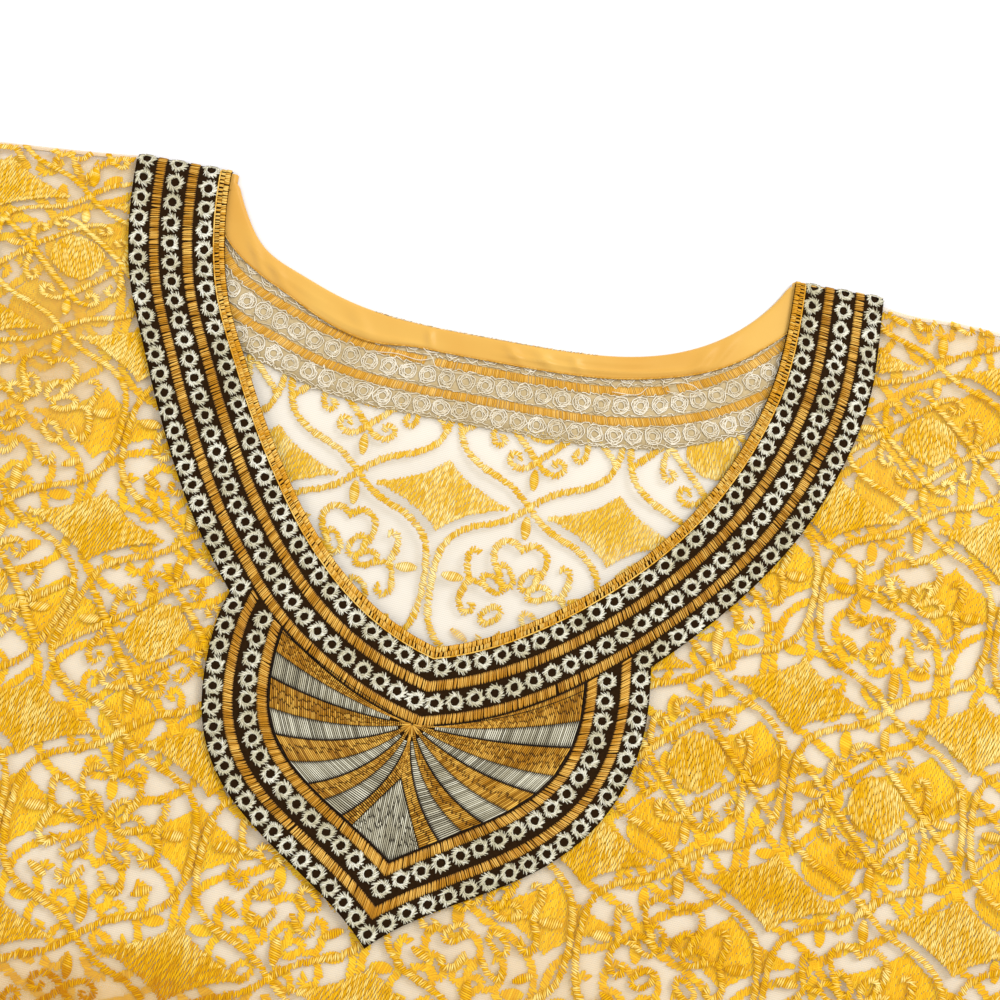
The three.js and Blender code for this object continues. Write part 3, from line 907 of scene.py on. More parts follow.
def pattern_to_panel(points, panel):
    """From places in the pattern to places on the panel as it lies."""
    here = PATTERN[panel]
    x = here["x"] + points[..., 0] * here["repeat"][0] / REPEAT_X
    down = points[..., 1] * here["repeat"][1] / REPEAT_Y
    y = here["y"] + down + here["tilt"] * (x - here["x"])
    if panel == "front":
        y = y - (1 - SHOULDER_SQUEEZE) * np.maximum(0, down)
        # The rows climb and spread to the left, and waver by about a millimetre
        leftward = np.clip(here["x"] - x, -120, 420)
        spread = table(FRONT_SPREAD, y) * leftward
        y = y + table(FRONT_CLIMB, y) * leftward + 0.9 * np.sin(x / 53.0 + 1.0)
        x = x + spread + 1.2 * np.sin(y / 61.0 + x / 97.0) + 0.6 * np.sin(y / 23.0)
        x = x - drift_at(x, y)
    return np.stack([x, y], -1)


def medallion_rows(panel):
    """Medallions as (column, row, kind): row 0 lies just above the panel's first crossing row."""
    here = PATTERN[panel]
    rx, ry = here["repeat"]
    columns = range(int((-HALF_WIDTH - here["x"]) / rx) - 1, int((HALF_WIDTH - here["x"]) / rx) + 2)
    rows = range(-int((LENGTH + here["y"]) / ry) - 2, 2)
    for row in rows:
        for column in columns:
            yield column, row, "lattice" if row % 2 == 0 else "flower"


def is_near(x, y):
    """Whether a medallion is in the camera's view or close to it."""
    for a, b in zip(SEEN, np.roll(SEEN, -1, axis=0)):
        run = b - a
        inside = (run[0] * (y - a[1]) - run[1] * (x - a[0])) / np.hypot(*run)
        if inside < -SEEN_MARGIN:
            return False
    return True


def on_cloth(x, y, panel):
    """Whether a place on the flat is cloth that shows."""
    inside = (np.abs(x) < HALF_WIDTH - 1.5) & (y > hem_y(x) + 8.5) & (y < shoulder_y(x) - 0.6)
    if panel == "front":
        return inside & (to_neck(x, y) > BAND_WIDTH - 3) & (in_shield(x, y) < 3.5)
    return inside & ((to_back_neck(x, y) > BACK_BAND_WIDTH["middle"] - 3) | (y < -110))


def lace_sets(panel, part):
    """Stitches of a panel: near the camera, under the front there, or far away."""
    near = part != "far"
    motif = {}
    for kind in ("flower", "lattice"):
        if near:
            motif[kind] = repeat_stitches(kind, *STITCHES[part])
        else:
            motif[kind] = repeat_ribbons(kind, RIBBON_STEP[panel])
    found = []
    for column, row, kind in medallion_rows(panel):
        centre = np.array([column * REPEAT_X, (row + 0.5) * REPEAT_Y])
        place = pattern_to_panel(centre, panel)
        if is_near(*place) != near:
            continue
        a, b, w, h = motif[kind]
        a, b = pattern_to_panel(a + centre, panel), pattern_to_panel(b + centre, panel)
        middle = (a + b) / 2
        below_fold = np.maximum(a[:, 1], b[:, 1]) < shoulder_y(middle[:, 0]) - 0.5
        keep = on_cloth(middle[:, 0], middle[:, 1], panel) & below_fold
        keep &= np.maximum(np.abs(a[:, 0]), np.abs(b[:, 0])) < HALF_WIDTH - 1
        if panel == "back" and near:
            keep &= (to_neck(middle[:, 0], middle[:, 1]) > 4) == (part == "under")
        found.append([value[keep] for value in (a, b, w, h)])
    if panel == "front" and part == "near":
        scrolls = StitchList()
        for points in SHOULDER_SCROLLS:
            scrolls.line(spline(points), LINE, STITCH_PITCH)
        found.append(scrolls.arrays())
    return [np.concatenate(values) for values in zip(*found)]


def lace_piece(name, panel, part, stations, material):
    """The embroidery of one part of a panel, as one piece or more."""
    a, b, width, up = lace_sets(panel, part)
    pieces = max(1, math.ceil(len(a) * (stations - 1) * 4 / MOST_TRIANGLES))
    made = []
    for k, some in enumerate(np.array_split(np.argsort(a[:, 0], kind="stable"), pieces)):
        stitches = sewn(SURFACE[panel], a[some], b[some], LACE_LIES, width[some], up[some], stations)
        made.append(stitch_piece(f"{name}_{k + 1}" if pieces > 1 else name, [stitches], material, "lace"))
    return made


SURFACE = {"front": on_front, "back": on_back}
LACE = [
    # name, panel, part, stations of each stitch, material
    ("front_lace_near", "front", "near", 3, lace_front), ("front_lace_far", "front", "far", 2, lace_front),
    ("back_lace_in_v", "back", "near", 3, lace_back), ("back_lace_under", "back", "under", 2, lace_under),
    ("back_lace_far", "back", "far", 2, lace_under),
]
lace_pieces = {"front": [], "back": []}
for row in LACE:
    lace_pieces[row[1]] += lace_piece(*row)

# %% [markdown]
# Under the embroidery each panel is one sheet of net. Its columns start at the
# shoulder or the neck edge and spread to the hem, closer together near the
# neck, where the camera is. The front's top edge rounds down over the shoulder.

# %% The net of the two panels


def net_columns(tops, shares):
    """Columns of places from a right half's tops, side first, and its mirror image."""
    tops = np.asarray(tops, float)
    n = len(tops)
    hem_x = HALF_WIDTH * (1 - np.arange(n) / (n - 1))
    x = tops[:, :1] + (hem_x[:, None] - tops[:, :1]) * shares
    y = tops[:, 1:] + (hem_y(hem_x)[:, None] - tops[:, 1:]) * shares
    left = np.stack([-x, y], -1)
    return np.concatenate([left, np.stack([x, y], -1)[::-1][1:]])


def grid_faces(rows, columns):
    i, j = np.meshgrid(np.arange(rows - 1), np.arange(columns - 1), indexing="ij")
    k = (i * columns + j).ravel()
    return np.stack([k, k + 1, k + columns + 1, k + columns], -1)


def grid_piece(name, points, material, flip=False, values=None):
    faces = grid_faces(*points.shape[:2])
    faces = faces[:, ::-1] if flip else faces
    return mesh_piece(name, points.reshape(-1, 3), faces, material, values)


# Where the net looks thicker and browner: partly because its layers lie together at the seams, partly as
# painted shade where the cloth folds over at the lower left
HAZE_AND_SHADE = [
    # x, y, reach x, reach y, how thick and how shaded
    (-176, -74, 24, 50, 0.75), (172, -62, 30, 52, 0.3), (-100, -332, 66, 16, 0.8), (60, -300, 50, 30, 0.25),
    (-205, 0, 60, 7, 0.6), (200, -8, 50, 6, 0.3),
]
BAND_EDGE = NECK_CURVE[0][0] + BAND_WIDTH
FOLD_DEPTHS = np.array([0, 0.25, 0.7, 1.3, 2.0, FOLD])
shoulder_x = BAND_EDGE + 0.3 + (HALF_WIDTH - BAND_EDGE - 0.3) * np.linspace(1, 0, 60) ** 1.5
front_tops = [(x, float(shoulder_y(x))) for x in shoulder_x]
front_tops += [(x, -4.2) for x in np.linspace(BAND_EDGE - 2, 121, 8)]
edge, away = neck.at(np.linspace(4.2, neck.length, 44))
front_tops += [tuple(p) for p in edge + away * 0.8]
shares = np.concatenate([FOLD_DEPTHS / LENGTH, np.linspace(0.006, 1, 150) ** 1.25])
places = net_columns(front_tops, shares)
places[..., 1] = np.minimum(places[..., 1], 0)
laid = on_front(places)
# The net's haze at each point, with painted shade at the lower left
haze_and_shade = clamp(patches(HAZE_AND_SHADE, laid[..., 0], laid[..., 1]))
front_net = grid_piece("front_net", laid, net_front, values={"haze_and_shade": haze_and_shade.ravel()})

back_half = [(x, float(shoulder_y(x)) - BACK_START) for x in shoulder_x]
edge, away = back_neck.at(np.linspace(0, back_neck.length / 2, 30))
back_half += [tuple(p) for p in edge + away * 34]
places = net_columns(back_half, np.linspace(0, 1, 70) ** 1.2)
back_net = grid_piece("back_net", on_back(places), net_back)

# %% [markdown]
# What the photograph's edge hides is finished plainly: the hems and the side
# edges are closed with one line of the same thread.

# %% Hems and side edges


EDGE_INSET = 2


def edge_line(panel):
    """A line round a panel: down its left side, along its hem and up its right side."""
    side = HALF_WIDTH - EDGE_INSET
    shorter = FRONT_HEM_SHORTER if panel == "front" else 0
    hem = [(x, float(hem_y(x)) + shorter + EDGE_INSET) for x in np.linspace(-side, side, 180)]
    top = float(shoulder_y(HALF_WIDTH)) - 2 * EDGE_INSET
    left = [(-side, y) for y in np.linspace(top, hem[0][1], 120)[:-1]]
    right = [(side, y) for y in np.linspace(hem[-1][1], top, 120)[1:]]
    return np.array(left + hem + right)


hem_sets = [run_of(lay, edge_line(panel), LACE_LIES, 2.6, 0.45) for panel, lay in SURFACE.items()]
hem_stitches = stitch_piece("edge_stitches", hem_sets, lace_front, "lace")

# %% [markdown]
# The trim is a ready-made embroidered piece on a dark ground. Its rows all run
# at fixed distances from the neck edge, so a place on it is given as a
# distance from the shoulder and a distance across. The right half is worked
# out, and the left is its mirror image. Then both drift aside with the cloth.

# %% The trim's ground
TRIM_TOP = 0.25
TRIM_RISE = {"height": 2.4, "from": -40, "reach": 100}


def on_trim(points, height=0.0):
    """A place on the trim, as it lies: its left end stands a little further up."""
    x, y = points[..., 0], np.minimum(points[..., 1], TRIM_TOP)
    up = TRIM_RISE["height"] * ease(clamp(1 - y / TRIM_RISE["from"])) * clamp(-x / TRIM_RISE["reach"])
    z = TRIM - rounded_by(-np.minimum(y, 0), TRIM_UNDER)
    return np.stack([x + drift_at(x, y), y + up, z + height], -1)


def mirrored(points):
    return points * np.array([-1, 1])


def to_middle(row):
    """A right half's row, cut where it meets the middle line."""
    inside = row[:, 0] >= 0
    last = np.argmin(inside) if not inside.all() else len(row) - 1
    a, b = row[last - 1], row[last]
    t = a[0] / (a[0] - b[0]) if b[0] < 0 else 1
    return np.vstack([row[:last], a + (b - a) * t])


def band_row(across):
    """A row at a distance from the neck edge, right half, from the shoulder to the middle."""
    point, away = neck.at(np.append(np.linspace(0, neck.length, 260), neck.length + 40))
    return to_middle(point + away * across)


def shield_row(inset, start=0.0):
    """A row at a distance inside the shield's outline, right half, to the tip's mitre."""
    point, away = shield.at(np.linspace(start, shield.length + 20, 300))
    return to_middle(point - away * inset)


def outside_band(row, distance):
    """The part of a shield's row that isn't covered by the band."""
    return row[to_neck(row[:, 0], row[:, 1]) > distance]


def whole_row(half):
    return np.vstack([mirrored(half), half[::-1][1:]])


EDGE_SINKS = 0.4
ACROSS = [0, 0, 2, 4.3, 8, 12.5, 15, 17.4, 22, 26.4, 28.6, 30.8, 35, BAND_WIDTH, BAND_WIDTH]
rows = []
for k, across in enumerate(ACROSS):
    half = Path(band_row(across))
    even = half.at(np.linspace(0, half.length, 90))[0]
    flat = whole_row(even)
    laid = on_trim(flat)
    if k == 0:
        laid[:, 2] = np.minimum(laid[:, 2], WALL + SEAM + 0.1)
    if k == len(ACROSS) - 1:
        sunk = np.minimum(laid[:, 2], FRONT_NET - EDGE_SINKS)
        laid[:, 2] = np.where(np.abs(flat[:, 0]) > NOTCH_X, sunk, laid[:, 2] - 0.1)
    rows.append(laid)
band_points = np.stack(rows)
nose = band_points[:, [0, -1]]
nose[..., 2] = 0.1
band_points = np.concatenate([nose[:, :1], band_points, nose[:, 1:]], 1)
band_ground = grid_piece("neck_band_ground", band_points, ground_dark)

outline = shield.at(np.linspace(0, shield.length, 60))[0]
outline[-1, 0] = 0
point, away = neck.at(np.linspace(NOTCH, neck.length, 60))
under_band = point + away * 30
under_band[-1] = (0, -207)
columns = []
for share in (0, 0, 0.06, 0.2, 0.4, 0.6, 0.8, 1):
    half = outline + (under_band - outline) * share
    columns.append(on_trim(whole_row(half), -0.04))
columns[0][:, 2] = FRONT_NET - EDGE_SINKS
shield_ground = grid_piece("neck_shield_ground", np.stack(columns), ground_dark, flip=True)

# %% [markdown]
# Each ring is a small wheel of short stitches round an open eye, worked so
# closely that neighbours touch. The machine's thread is never quite even, so
# each stitch is a little long or short and turned.

# %% Ring rows
RING_PITCH = 8.0
RING = {"outer": 3.76, "eye": 1.9, "skew": 0.78, "thread": (0.38, 0.66)}
UNEVEN = {"outer": 0.085, "eye": 0.1, "skew": 0.34, "turn": 0.09}
WHEELS = {
    # side of the trim: stitches of a ring, how high, how loose
    "right": (37, 0.62, 1.0), "wrong": (26, 0.5, 1.5),
}
ROUNDS = {
    # threads that run round a ring: radius, parts, unevenness, where it lies, width, how high, tones
    "right": [(2.08, 12, 0.035, 0.1, 0.55, 0.62, (0.3, 0.9)), (2.62, 14, 0.03, 0, 1.2, 0.31, (-0.3, 0.5))],
    "wrong": [(2.62, 14, 0.03, 0, 1.2, 0.25, (-0.3, 0.5)), (1.7, 12, 0.09, 0.25, 0.5, 0.4, (0.6, 1.2)),
              (2.7, 12, 0.09, 0.25, 0.45, 0.4, (0.6, 1.2)), (3.5, 12, 0.09, 0.25, 0.55, 0.4, (0.6, 1.2))],
}


def polar(centres, reach, turn):
    return centres[:, None] + reach[..., None] * np.stack([np.cos(turn), np.sin(turn)], -1)


def ring_ends(centres, loose, k):
    """Both ends of the stitches of each ring: at its eye, and askew at its rim."""
    n = len(centres)
    turn = 2 * np.pi * (np.arange(k) + rng.random((n, 1))) / k
    turn = turn + loose * UNEVEN["turn"] * rng.standard_normal((n, k))
    skew = turn + RING["skew"] + loose * UNEVEN["skew"] * rng.standard_normal((n, k))
    outer = RING["outer"] * (1 + loose * UNEVEN["outer"] * rng.standard_normal((n, k)).clip(-2, 1.6))
    eye = RING["eye"] * (1 + loose * UNEVEN["eye"] * rng.standard_normal((n, k)).clip(-2, 2))
    return polar(centres, eye, turn).reshape(-1, 2), polar(centres, outer, skew).reshape(-1, 2)


def round_set(centres, lay, radius, parts, uneven, height, width, up, tones):
    """Short threads that run round each ring."""
    turn = 2 * np.pi * np.arange(parts + 1) / parts
    reach = radius * (1 + uneven * rng.standard_normal((len(centres), parts)))
    p = polar(centres, np.concatenate([reach, reach[:, :1]], 1), turn)
    a, b = p[:, :-1].reshape(-1, 2), p[:, 1:].reshape(-1, 2)
    return sewn(lay, a, b, height, width, up, 2, rng.uniform(*tones, len(a)))


def ring_set(row, lay, side, start=0.0):
    """The rings of one row: a soft bed of thread, and the stitches over it."""
    path = Path(row)
    count = int(round((path.length - 2 * start) / RING_PITCH))
    centres = path.at(np.linspace(start, path.length - start, count + 1))[0]
    k, up, loose = WHEELS[side]
    a, b = ring_ends(centres, loose, k)
    n = len(a)
    lift = up * rng.uniform(0.7, 1.15, n)
    tone = rng.random(n) ** 0.75
    sets = [sewn(lay, a, b, SEWN_AT, rng.uniform(*RING["thread"], n), lift, 3, tone)]
    return sets + [round_set(centres, lay, *threads) for threads in ROUNDS[side]]


row_3 = band_row(35)
row_s = shield_row(3.9, -12)
gap = np.hypot(*(row_3[:, None] - row_s[None]).transpose(2, 0, 1))
i, j = np.unravel_index(gap.argmin(), gap.shape)
outer_row = np.vstack([row_3[:i + 1], row_s[j:]])
inner_row = outside_band(shield_row(17.3, -14), 34.6)

ring_sets = []
for row in (band_row(8.2), band_row(22), outer_row):
    ring_sets += ring_set(whole_row(row), on_trim, "right", 1.6)
ring_sets += ring_set(whole_row(inner_row), on_trim, "right")
rings = stitch_piece("neck_rings", ring_sets, ring_thread, "trim")

# %% [markdown]
# Gold satin stripes separate the ring rows. The stripe on the neck edge is
# sewn over it to bind it, with every few stitches shorter, so that the dark
# ground shows in slots along its outer half.

# %% Gold stripes
GOLD_PITCH = 0.76
SLOT_PITCH = 1.6
STRIPE = {"shift": 0.12, "lean": 0.3, "ragged": 0.05, "width": (0.9, 1.14), "tones": (0.05, 0.95)}
# Distances of their edges: on the band from the neck edge, on the shield from its outline
BAND_STRIPES = [(12.9, 17.3), (26.5, 30.7)]
SHIELD_STRIPES = [(7.8, 11.9), (20.8, 25.1)]
FAN_TOP = 31.2


def stripe_set(row_a, row_b, missing=0.005, height=0.7, pitch=GOLD_PITCH, skip=None):
    """Stitches between two rows of one half, and their mirror image."""
    path_a, path_b = Path(row_a), Path(row_b)
    n = int(path_a.length / pitch)
    sets = []
    for turn in (1, -1):
        t = (np.arange(n) + 0.5 + STRIPE["shift"] * rng.standard_normal(n)) / n
        lean = STRIPE["lean"] * pitch / path_a.length * rng.standard_normal(n)
        a, b = path_a.at(t * path_a.length)[0], path_b.at((t + lean) * path_b.length)[0]
        keep = rng.random(n) > missing
        if skip is not None:
            keep &= ~skip(t * path_a.length)
        ragged = STRIPE["ragged"] * rng.random((n, 2))
        a, b = a + (b - a) * ragged[:, :1], b + (a - b) * ragged[:, 1:]
        mirror = np.array([turn, 1])
        wide = pitch * rng.uniform(*STRIPE["width"], n)
        tone = rng.uniform(*STRIPE["tones"], n)
        made = sewn(on_trim, a * mirror, b * mirror, SEWN_AT, wide, height, 4, tone)
        sets.append(some_of(made, keep))
    return sets


def some_of(made, keep):
    """Only those stitches of a set that are to be kept."""
    points, faces, values = made
    per = len(points) // len(keep)
    kept = np.flatnonzero(keep)
    each = faces.reshape(len(keep), -1, 4)[kept]
    each = each - (per * (kept - np.arange(len(kept))))[:, None, None]
    pick = np.repeat(keep, per)
    return points[pick], each.reshape(-1, 4), {key: value[pick] for key, value in values.items()}


def in_slot(place):
    return (place / SLOT_PITCH) % 1 < 0.2 + 0.12 * np.sin(place / 19)


edge_sets = stripe_set(band_row(-0.1), band_row(2.3), 0.0, 0.95, 0.85)
edge_sets += stripe_set(band_row(1.9), band_row(4.3), 0.0, 0.6, SLOT_PITCH / 3, in_slot)
for turn in (1, -1):
    line = evenly(band_row(4.35), 1.3)[0] * np.array([turn, 1])
    edge_sets.append(run_of(on_trim, line, 0.05, 0.6, 0.45))
edge_stripe = stitch_piece("neck_edge_stripe", edge_sets, gold_edge, "trim")

gold_sets = []
for inner, outer in BAND_STRIPES:
    gold_sets += stripe_set(band_row(inner), band_row(outer))
for outer, inner in SHIELD_STRIPES:
    rows = shield_row(outer, -14), shield_row(inner, -16)
    gold_sets += stripe_set(*(outside_band(row, FAN_TOP) for row in rows))
gold_stripes = stitch_piece("neck_gold_stripes", gold_sets, gold_thread, "trim")

# %% [markdown]
# The fan spreads from a point just below the V. Grey rays lie between gold
# ones, each with a dark line under it, and a kite stands in the middle. A short
# table gives each boundary's direction at the rim and how much it bows.

# %% The fan
FAN_HUB = np.array([-2.9, -206.9])
FAN_TURN = math.radians(-3.2)
FAN_INSET = 26.0
RAYS = {
    # side: each boundary's direction below level at the rim, and how much steeper it is at the hub
    -1: [(-14.5, 9), (-5.2, 10), (6.5, 13), (17.2, 18), (30.3, 24), (43.9, 24), (55, 27), (67.4, 28)],
    1: [(-14.4, 8), (-5, 7), (6.5, 12), (15.4, 14), (27.8, 18), (39.4, 21), (49.8, 24), (61.6, 20)],
}
TOP_LINES = {-1: (-21.5, 5), 1: (-24.5, 14)}
RAY_STARTS = [9.0, 5.5, 6.0, 6.6]
KITE_TOP = (1.7, -21.0)
KITE_CORNERS = {-1: 74.6, 1: 71.4}
RAY_PITCH = 0.8


def fan_axes(x, y):
    """Places given from the hub, across and up, in the fan's own turned axes."""
    c, s = math.cos(FAN_TURN), math.sin(FAN_TURN)
    x, y = np.asarray(x, float), np.asarray(y, float)
    return FAN_HUB + np.stack([x * c - y * s, x * s + y * c], -1)


def fan_place(side, angle, reach):
    return fan_axes(side * reach * np.cos(angle), -reach * np.sin(angle))


def fan_reach(side, angle):
    """How far the fan's rim is from the hub in one direction."""
    r = np.arange(20, 80, 0.25)
    p = fan_place(side, angle, r)
    return float(r[np.argmax(in_shield(p[:, 0], p[:, 1]) < FAN_INSET)])


def rim_place(side, degrees):
    angle = math.radians(degrees)
    return fan_place(side, angle, fan_reach(side, angle))


def boundary(side, row, start):
    """A ray's boundary as a function of a share, 0 at its start and 1 at the rim."""
    end, bow = row
    far = fan_reach(side, math.radians(end))

    def at(share):
        r = start + (far - start) * np.asarray(share, float)
        return fan_place(side, np.radians(end + bow * (1 - r / far)), r)
    return at


def between(edge_a, edge_b, height=0.6, parts=1, thick=(0.7, 1.0)):
    """Stitches from one edge to another, each edge a function of a share from 0 to 1."""
    size = np.hypot(*(edge_a(1.0) - edge_a(0.0)))
    n = max(4, int(size / RAY_PITCH))
    t = (np.arange(n) + 0.5) / n
    a, b = edge_a(t), edge_b(t)
    cuts = (np.arange(1, parts) + rng.uniform(-0.35, 0.35, (n, parts - 1))) / parts
    cuts = np.hstack([np.zeros((n, 1)), cuts, np.ones((n, 1))])
    sets = []
    for k in range(parts):
        p, q = a + (b - a) * cuts[:, k:k + 1], a + (b - a) * cuts[:, k + 1:k + 2]
        wide = RAY_PITCH * rng.uniform(*thick, n)
        sets.append(sewn(on_trim, p, q, SEWN_AT, wide, height * rng.uniform(0.8, 1.1, n), 4))
    return sets


def line_share(points):
    path = Path(points)
    return lambda t: path.at(np.asarray(t, float) * path.length)[0]


def chain(points, width, height):
    return run_of(on_trim, evenly(points, 1.2)[0], 0.1, width, height)


fan_gold, fan_grey, fan_dark, fan_kite = [], [], [], []
along = np.linspace(0, 1, 30)
kite_top, kite_tip = fan_axes(*KITE_TOP), shield_row(FAN_INSET)[-1]
kite_corners = {side: rim_place(side, degrees) for side, degrees in KITE_CORNERS.items()}
for side in (-1, 1):
    rows = RAYS[side]
    mirror = np.array([side, 1])
    top = band_row(FAN_TOP)[::-1]
    top = top[in_shield(top[:, 0], top[:, 1]) > FAN_INSET] * mirror
    fan_gold += between(line_share(top), boundary(side, rows[0], 0.8), parts=3)
    fan_dark.append(chain(boundary(side, TOP_LINES[side], 9.0)(along), 0.45, 0.85))
    for k in (0, 2, 4, 6):
        start = RAY_STARTS[k // 2]
        upper, lower = boundary(side, rows[k], start), boundary(side, rows[k + 1], start)
        fan_grey += between(upper, lower, height=0.8, thick=(0.6, 0.86))
        fan_dark.append(chain(lower(along), 0.75, 0.75))
        after = boundary(side, rows[k + 1], 1.0)
        if k < 6:
            fan_gold += between(after, boundary(side, rows[k + 2], 1.0), parts=2 if k else 3)
        else:
            corner = kite_corners[side]
            fan_gold += between(after, line_share(np.vstack([fan_axes(0, -3), kite_top, corner])), parts=2)
            fan_dark.append(chain(np.vstack([kite_top, corner]), 0.4, 0.5))
    rim = outside_band(shield_row(FAN_INSET - 0.3, -16), FAN_TOP) * mirror
    fan_dark.append(chain(rim, 0.5, 0.55))
    top_line = band_row(FAN_TOP - 0.3) * mirror
    top_line = top_line[in_shield(top_line[:, 0], top_line[:, 1]) > FAN_INSET - 1]
    fan_dark.append(chain(top_line, 0.4, 0.5))

turn = np.linspace(0, np.pi, 13)
hub_start = fan_place(1, turn, 0.3)
hub_end = fan_place(1, turn, rng.uniform(4.0, 6.0, 13))
fan_gold.append(stitch_mesh(on_trim(hub_start, 0.5), on_trim(hub_end, 0.3), 0.8, 0.6, 4))
kite_upper = np.array([kite_corners[-1], kite_top, kite_corners[1]])
kite_lower = np.array([kite_corners[-1], kite_tip, kite_corners[1]])
# Upright stitches run from the kite's upper edge to its lower edge, in three lengths
for x in np.arange(kite_upper[0, 0] + 0.5, kite_upper[2, 0], 0.72):
    high, low = np.interp(x, *kite_upper.T), np.interp(x, *kite_lower.T)
    cuts = np.sort(np.append(rng.uniform(0.2, 0.8, 2), [0, 1]))
    column = np.stack([np.full(4, x), high + (low - high) * cuts], -1)
    fan_kite.append(run_of(on_trim, column, SEWN_AT, 0.6, 0.75, 4))

FAN_PIECES = [("fan_gold", fan_gold, gold_dull), ("fan_grey", fan_grey, grey_thread),
              ("fan_kite", fan_kite, grey_thread), ("fan_lines", fan_dark, dark_thread)]
fan_pieces = [stitch_piece(*row, "trim") for row in FAN_PIECES]

# %% [markdown]
# Behind the V lies the back of the neckline. Its trim shows the wrong side:
# a beige backing, with the bobbin thread of the rings and of two stripes. The
# satin facing rolls over its edge, a little wider here and there, and creased
# where the curve draws it in.

# %% The back neckline
BACK_RING_ROWS = (6.2, 18.6, 30.9)
BACK_LINES = (2.2, 10.3, 14.8, 22.6, 27.2, 34.6, 35.4)
BACK_STRIPES = {
    # distance of its middle: the places where it was cut
    12.8: (-25, 74), 25.1: (),
}
STRIPE_HALF = 1.8


def back_width(x):
    share = ease(clamp(np.abs(x) / BACK_NECK["half_width"]))
    return BACK_BAND_WIDTH["middle"] + (BACK_BAND_WIDTH["shoulder"] - BACK_BAND_WIDTH["middle"]) * share


def back_row(across, count=260):
    """A row across the back trim, from right to left, its distance given for the middle."""
    point, away = back_neck.at(np.linspace(0, back_neck.length, count))
    scale = back_width(point[:, 0]) / BACK_BAND_WIDTH["middle"]
    return point + away * (across * scale)[:, None]


def on_back_trim(points, height=0.0):
    x, y = points[..., 0], points[..., 1]
    soft = 0.12 * np.sin(x / 13.0) * np.sin(y / 9.0 + x / 31.0)
    return np.stack([x, y, WALL + soft + height], -1)


def level(points, height):
    """Places on the flat, all at one height."""
    return np.hstack([points, np.full((len(points), 1), height)])


levels = [(0, 0.1), (0, 1), (6, 1), (12, 1), (18, 1), (24, 1), (30, 1), (35.6, 1), (35.9, 0.3)]
shell = []
for across, up in levels:
    laid = on_back_trim(back_row(across, 160))
    laid[:, 2] *= up
    shell.append(laid)
back_ground = grid_piece("neck_band_back_ground", np.stack(shell), ground_beige)

wrong_sets = []
for across in BACK_RING_ROWS:
    wrong_sets += ring_set(back_row(across), on_back_trim, "wrong", 3.0)
for across in BACK_LINES:
    line = evenly(back_row(across), 1.0)[0]
    line = line + 0.45 * rng.standard_normal(line.shape)
    wrong_sets.append(run_of(on_back_trim, line, 0.3, 0.5, 0.35))
wrong_rings = stitch_piece("back_rings_wrong_side", wrong_sets, ring_wrong, "trim_wrong_side")

wrong_gold = []
for across, cuts in BACK_STRIPES.items():
    path_a, path_b = Path(back_row(across - STRIPE_HALF)), Path(back_row(across + STRIPE_HALF))
    n = int(path_a.length / 0.7)
    t = (np.arange(n) + 0.5 + 0.15 * rng.standard_normal(n)) / n
    a, b = path_a.at(t * path_a.length)[0], path_b.at(t * path_b.length)[0]
    keep = np.ones(n, bool)
    for cut in cuts:
        keep &= np.abs(a[:, 0] - cut) > 1.6
    wide = rng.uniform(0.6, 0.85, keep.sum())
    wrong_gold.append(sewn(on_back_trim, a[keep], b[keep], 0.05, wide, 0.5, 4))
wrong_stripes = stitch_piece("back_stripes_wrong_side", wrong_gold, gold_wrong, "trim_wrong_side")

FACING_PROFILE = [
    # across, height, share of the facing's width
    (-1.5, 0.1, 0), (-1.45, 1.0, 0), (-1.1, 1.9, 0), (-0.5, 2.45, 0), (0, 1.0, 0.02), (0, 1.02, 0.18),
    (0, 1.02, 0.34), (0, 1.0, 0.48), (0, 1.0, 0.6), (0, 1.0, 0.7), (0, 1.0, 0.8), (0, 0.98, 0.9), (0, 0.9, 1),
    (0, 0.5, 1.02),
]
LONG_CREASES = [
    # from x, to x, share of the width at its start and end, half width, height
    (-8, 96, 0.55, 0.82, 0.1, 0.9), (-84, -22, 0.7, 0.9, 0.09, 0.7), (16, 70, 0.2, 0.3, 0.1, 0.6),
    (-112, -60, 0.3, 0.55, 0.12, 0.5),
]
FACING_CREASES = [
    # x, half width, height, slant
    (4, 2.4, 0.5, 0.9), (17, 3.0, 0.6, 0.8), (31, 2.2, 0.45, 0.6), (88, 3.2, 0.6, -0.7), (97, 2.4, 0.5, -0.9),
    (-60, 4.0, 0.35, 0.7), (-96, 3.4, 0.5, 0.8), (-28, 1.6, 0.5, 0.2), (-106, 2.8, 0.45, 0.9),
]
right_end, left_end = [(118.4, -0.5), (118.4, -2.5)], [(-118.7, -2.5), (-118.8, 1.2)]
facing_path = Path(np.vstack([right_end, back_neck.points, left_end]))
place, away = facing_path.at(np.linspace(0, facing_path.length, 340))
width = table(FACING_WIDTH, place[:, 0])
shell = []
for across, height, share in FACING_PROFILE:
    at = place + away * (across + share * width)[:, None]
    z = np.full(len(at), height if share == 0 else FACING * height)
    if 0 < share < 1:
        swell = 2.2 * math.sin(math.pi * min(share, 0.96) * 0.9 + 0.25)
        for x, half, up, slant in FACING_CREASES:
            z = z + swell * up * bell((at[:, 0] - x - slant * share * width) / half)
        for x0, x1, share0, share1, half, up in LONG_CREASES:
            along = (at[:, 0] - x0) / (x1 - x0)
            aside = (share - share0 - (share1 - share0) * along) / half
            fades = ease(clamp(4 * along)) * ease(clamp(4 - 4 * along))
            z = z + up * fades * bell(aside)
    shell.append(np.concatenate([at, z[:, None]], 1))
facing_piece = grid_piece("neck_facing_satin", np.stack(shell), satin)
seam = run_of(level, evenly(shell[-2][:, :2], 1.6)[0], 0.9 * FACING, 0.55, 0.5, 3)
facing_seam = stitch_piece("neck_facing_seam", [seam], gold_wrong, "satin")

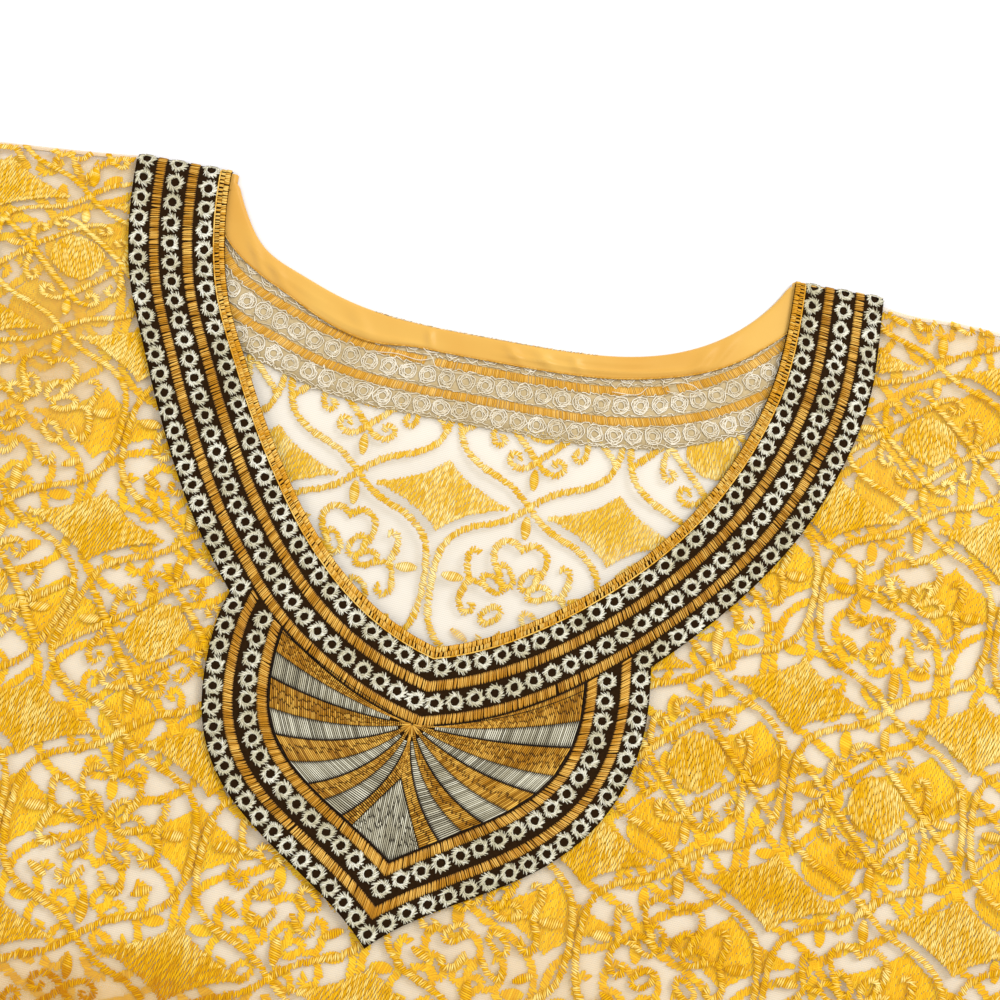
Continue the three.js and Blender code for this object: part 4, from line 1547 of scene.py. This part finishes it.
# %% [markdown]
# A hand-finished garment has loose ends. A few pale threads lie on the back
# trim where a stripe was cut and sewn again, and specks of dark thread show
# along the facing's edge.

# %% Loose threads
LOOSE = [
    [(-29, -57, 3.0), (-25, -60, 3.3), (-22, -64, 2.6), (-14, -64.5, 2.2), (-6, -63, 2.1)],
    [(70, -55, 2.6), (75, -52, 3.2), (82, -52, 3.4), (86, -55, 2.8), (80, -57, 2.2), (72, -56, 2.0)],
    [(-24, -60, 2.4), (-30, -62, 2.2), (-40, -61, 2.0), (-52, -62.5, 1.9)],
    [(64, -56, 2.2), (60, -60, 2.4), (50, -60.5, 2.0)],
]
for k, line in enumerate(LOOSE):
    name = f"loose_thread_{k + 1}"
    thread_path(name, spline(line, 6), 0.16, ring_wrong)

SPECKS = 150
point, away = back_neck.at(np.linspace(0.34, 0.69, SPECKS) * back_neck.length)
a = point + away * (-1.35 + 0.12 * rng.standard_normal((SPECKS, 1)))
b = a + 0.9 * np.stack([-away[:, 1], away[:, 0]], -1) * rng.uniform(-1.2, -0.4, (SPECKS, 1)) + 0.35 * away
dark = np.arange(SPECKS) % 3 > 0
for name, pick, material in (("specks", dark, grey_thread), ("stitches", ~dark, gold_wrong)):
    made = sewn(level, a[pick], b[pick], 1.9, 0.3, 0.3, 2)
    stitch_piece(f"facing_edge_{name}", [made], material, "satin")

# %% [markdown]
# The garment lies on a pale floor under soft, almost shadowless studio light:
# a bright surround, and one large lamp from the upper right that gives the
# thread its gloss. The camera is the photograph's: nearly overhead, turned by
# ten degrees, and close to the neckline.

# %% Floor, light and camera
floor_mesh = bpy.data.meshes.new("floor")
FLOOR_HALF = 6
corners = [(x * FLOOR_HALF, y * FLOOR_HALF, -0.4 * MM) for x, y in ((-1, -1), (1, -1), (1, 1), (-1, 1))]
floor_mesh.from_pydata(corners, [], [(0, 1, 2, 3)])
floor = show("floor", floor_mesh)
floor_material, _, floor_shader = new_material("floor_white", 0.9, 0.0)
floor_shader.inputs["Base Color"].default_value = linear("#FAF9FA")
floor_mesh.materials.append(floor_material)

world = bpy.data.worlds.new("studio")
bpy.context.scene.world = world
world.use_nodes = True
surround = world.node_tree.nodes["Background"]
surround.inputs["Color"].default_value = (1.0, 0.99, 0.985, 1)
surround.inputs["Strength"].default_value = 0.70

LAMPS_AIM_AT = (0.0, 0.48, 0.0)
LAMPS = [
    # name, place, size, power
    ("key", (1.25, 1.75, 1.7), 0.9, 34),
    ("fill", (-1.6, 0.4, 1.8), 1.4, 10),
]
for name, place, size, power in LAMPS:
    light = bpy.data.lights.new(name, "AREA")
    light.energy = power
    light.size = size
    lamp = show(name, light)
    aim = np.array(LAMPS_AIM_AT) - np.array(place)
    lamp.matrix_world = Matrix.Translation(place) @ Vector(aim).to_track_quat("-Z", "Y").to_matrix().to_4x4()

camera_data = bpy.data.cameras.new("camera")
camera_data.lens = 54
camera_data.sensor_width = 36
camera_data.clip_start = 0.01
camera = show("camera", camera_data)
AXES = ((0.983631, 0.173181, 0.049792), (-0.178780, 0.972484, 0.149376), (-0.022553, -0.155832, 0.987526))
CAMERA_AT = (-0.00107, 0.46795, 0.599)
camera.matrix_world = Matrix.Translation(CAMERA_AT) @ Matrix(AXES).transposed().to_4x4()
bpy.context.scene.camera = camera
bpy.context.scene.view_settings.view_transform = "Standard"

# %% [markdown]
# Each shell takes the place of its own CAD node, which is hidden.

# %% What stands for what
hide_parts("front_panel")
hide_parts("back_panel")
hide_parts("neck_band_front")
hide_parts("neck_shield")
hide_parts("neck_band_back")
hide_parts("neck_facing")
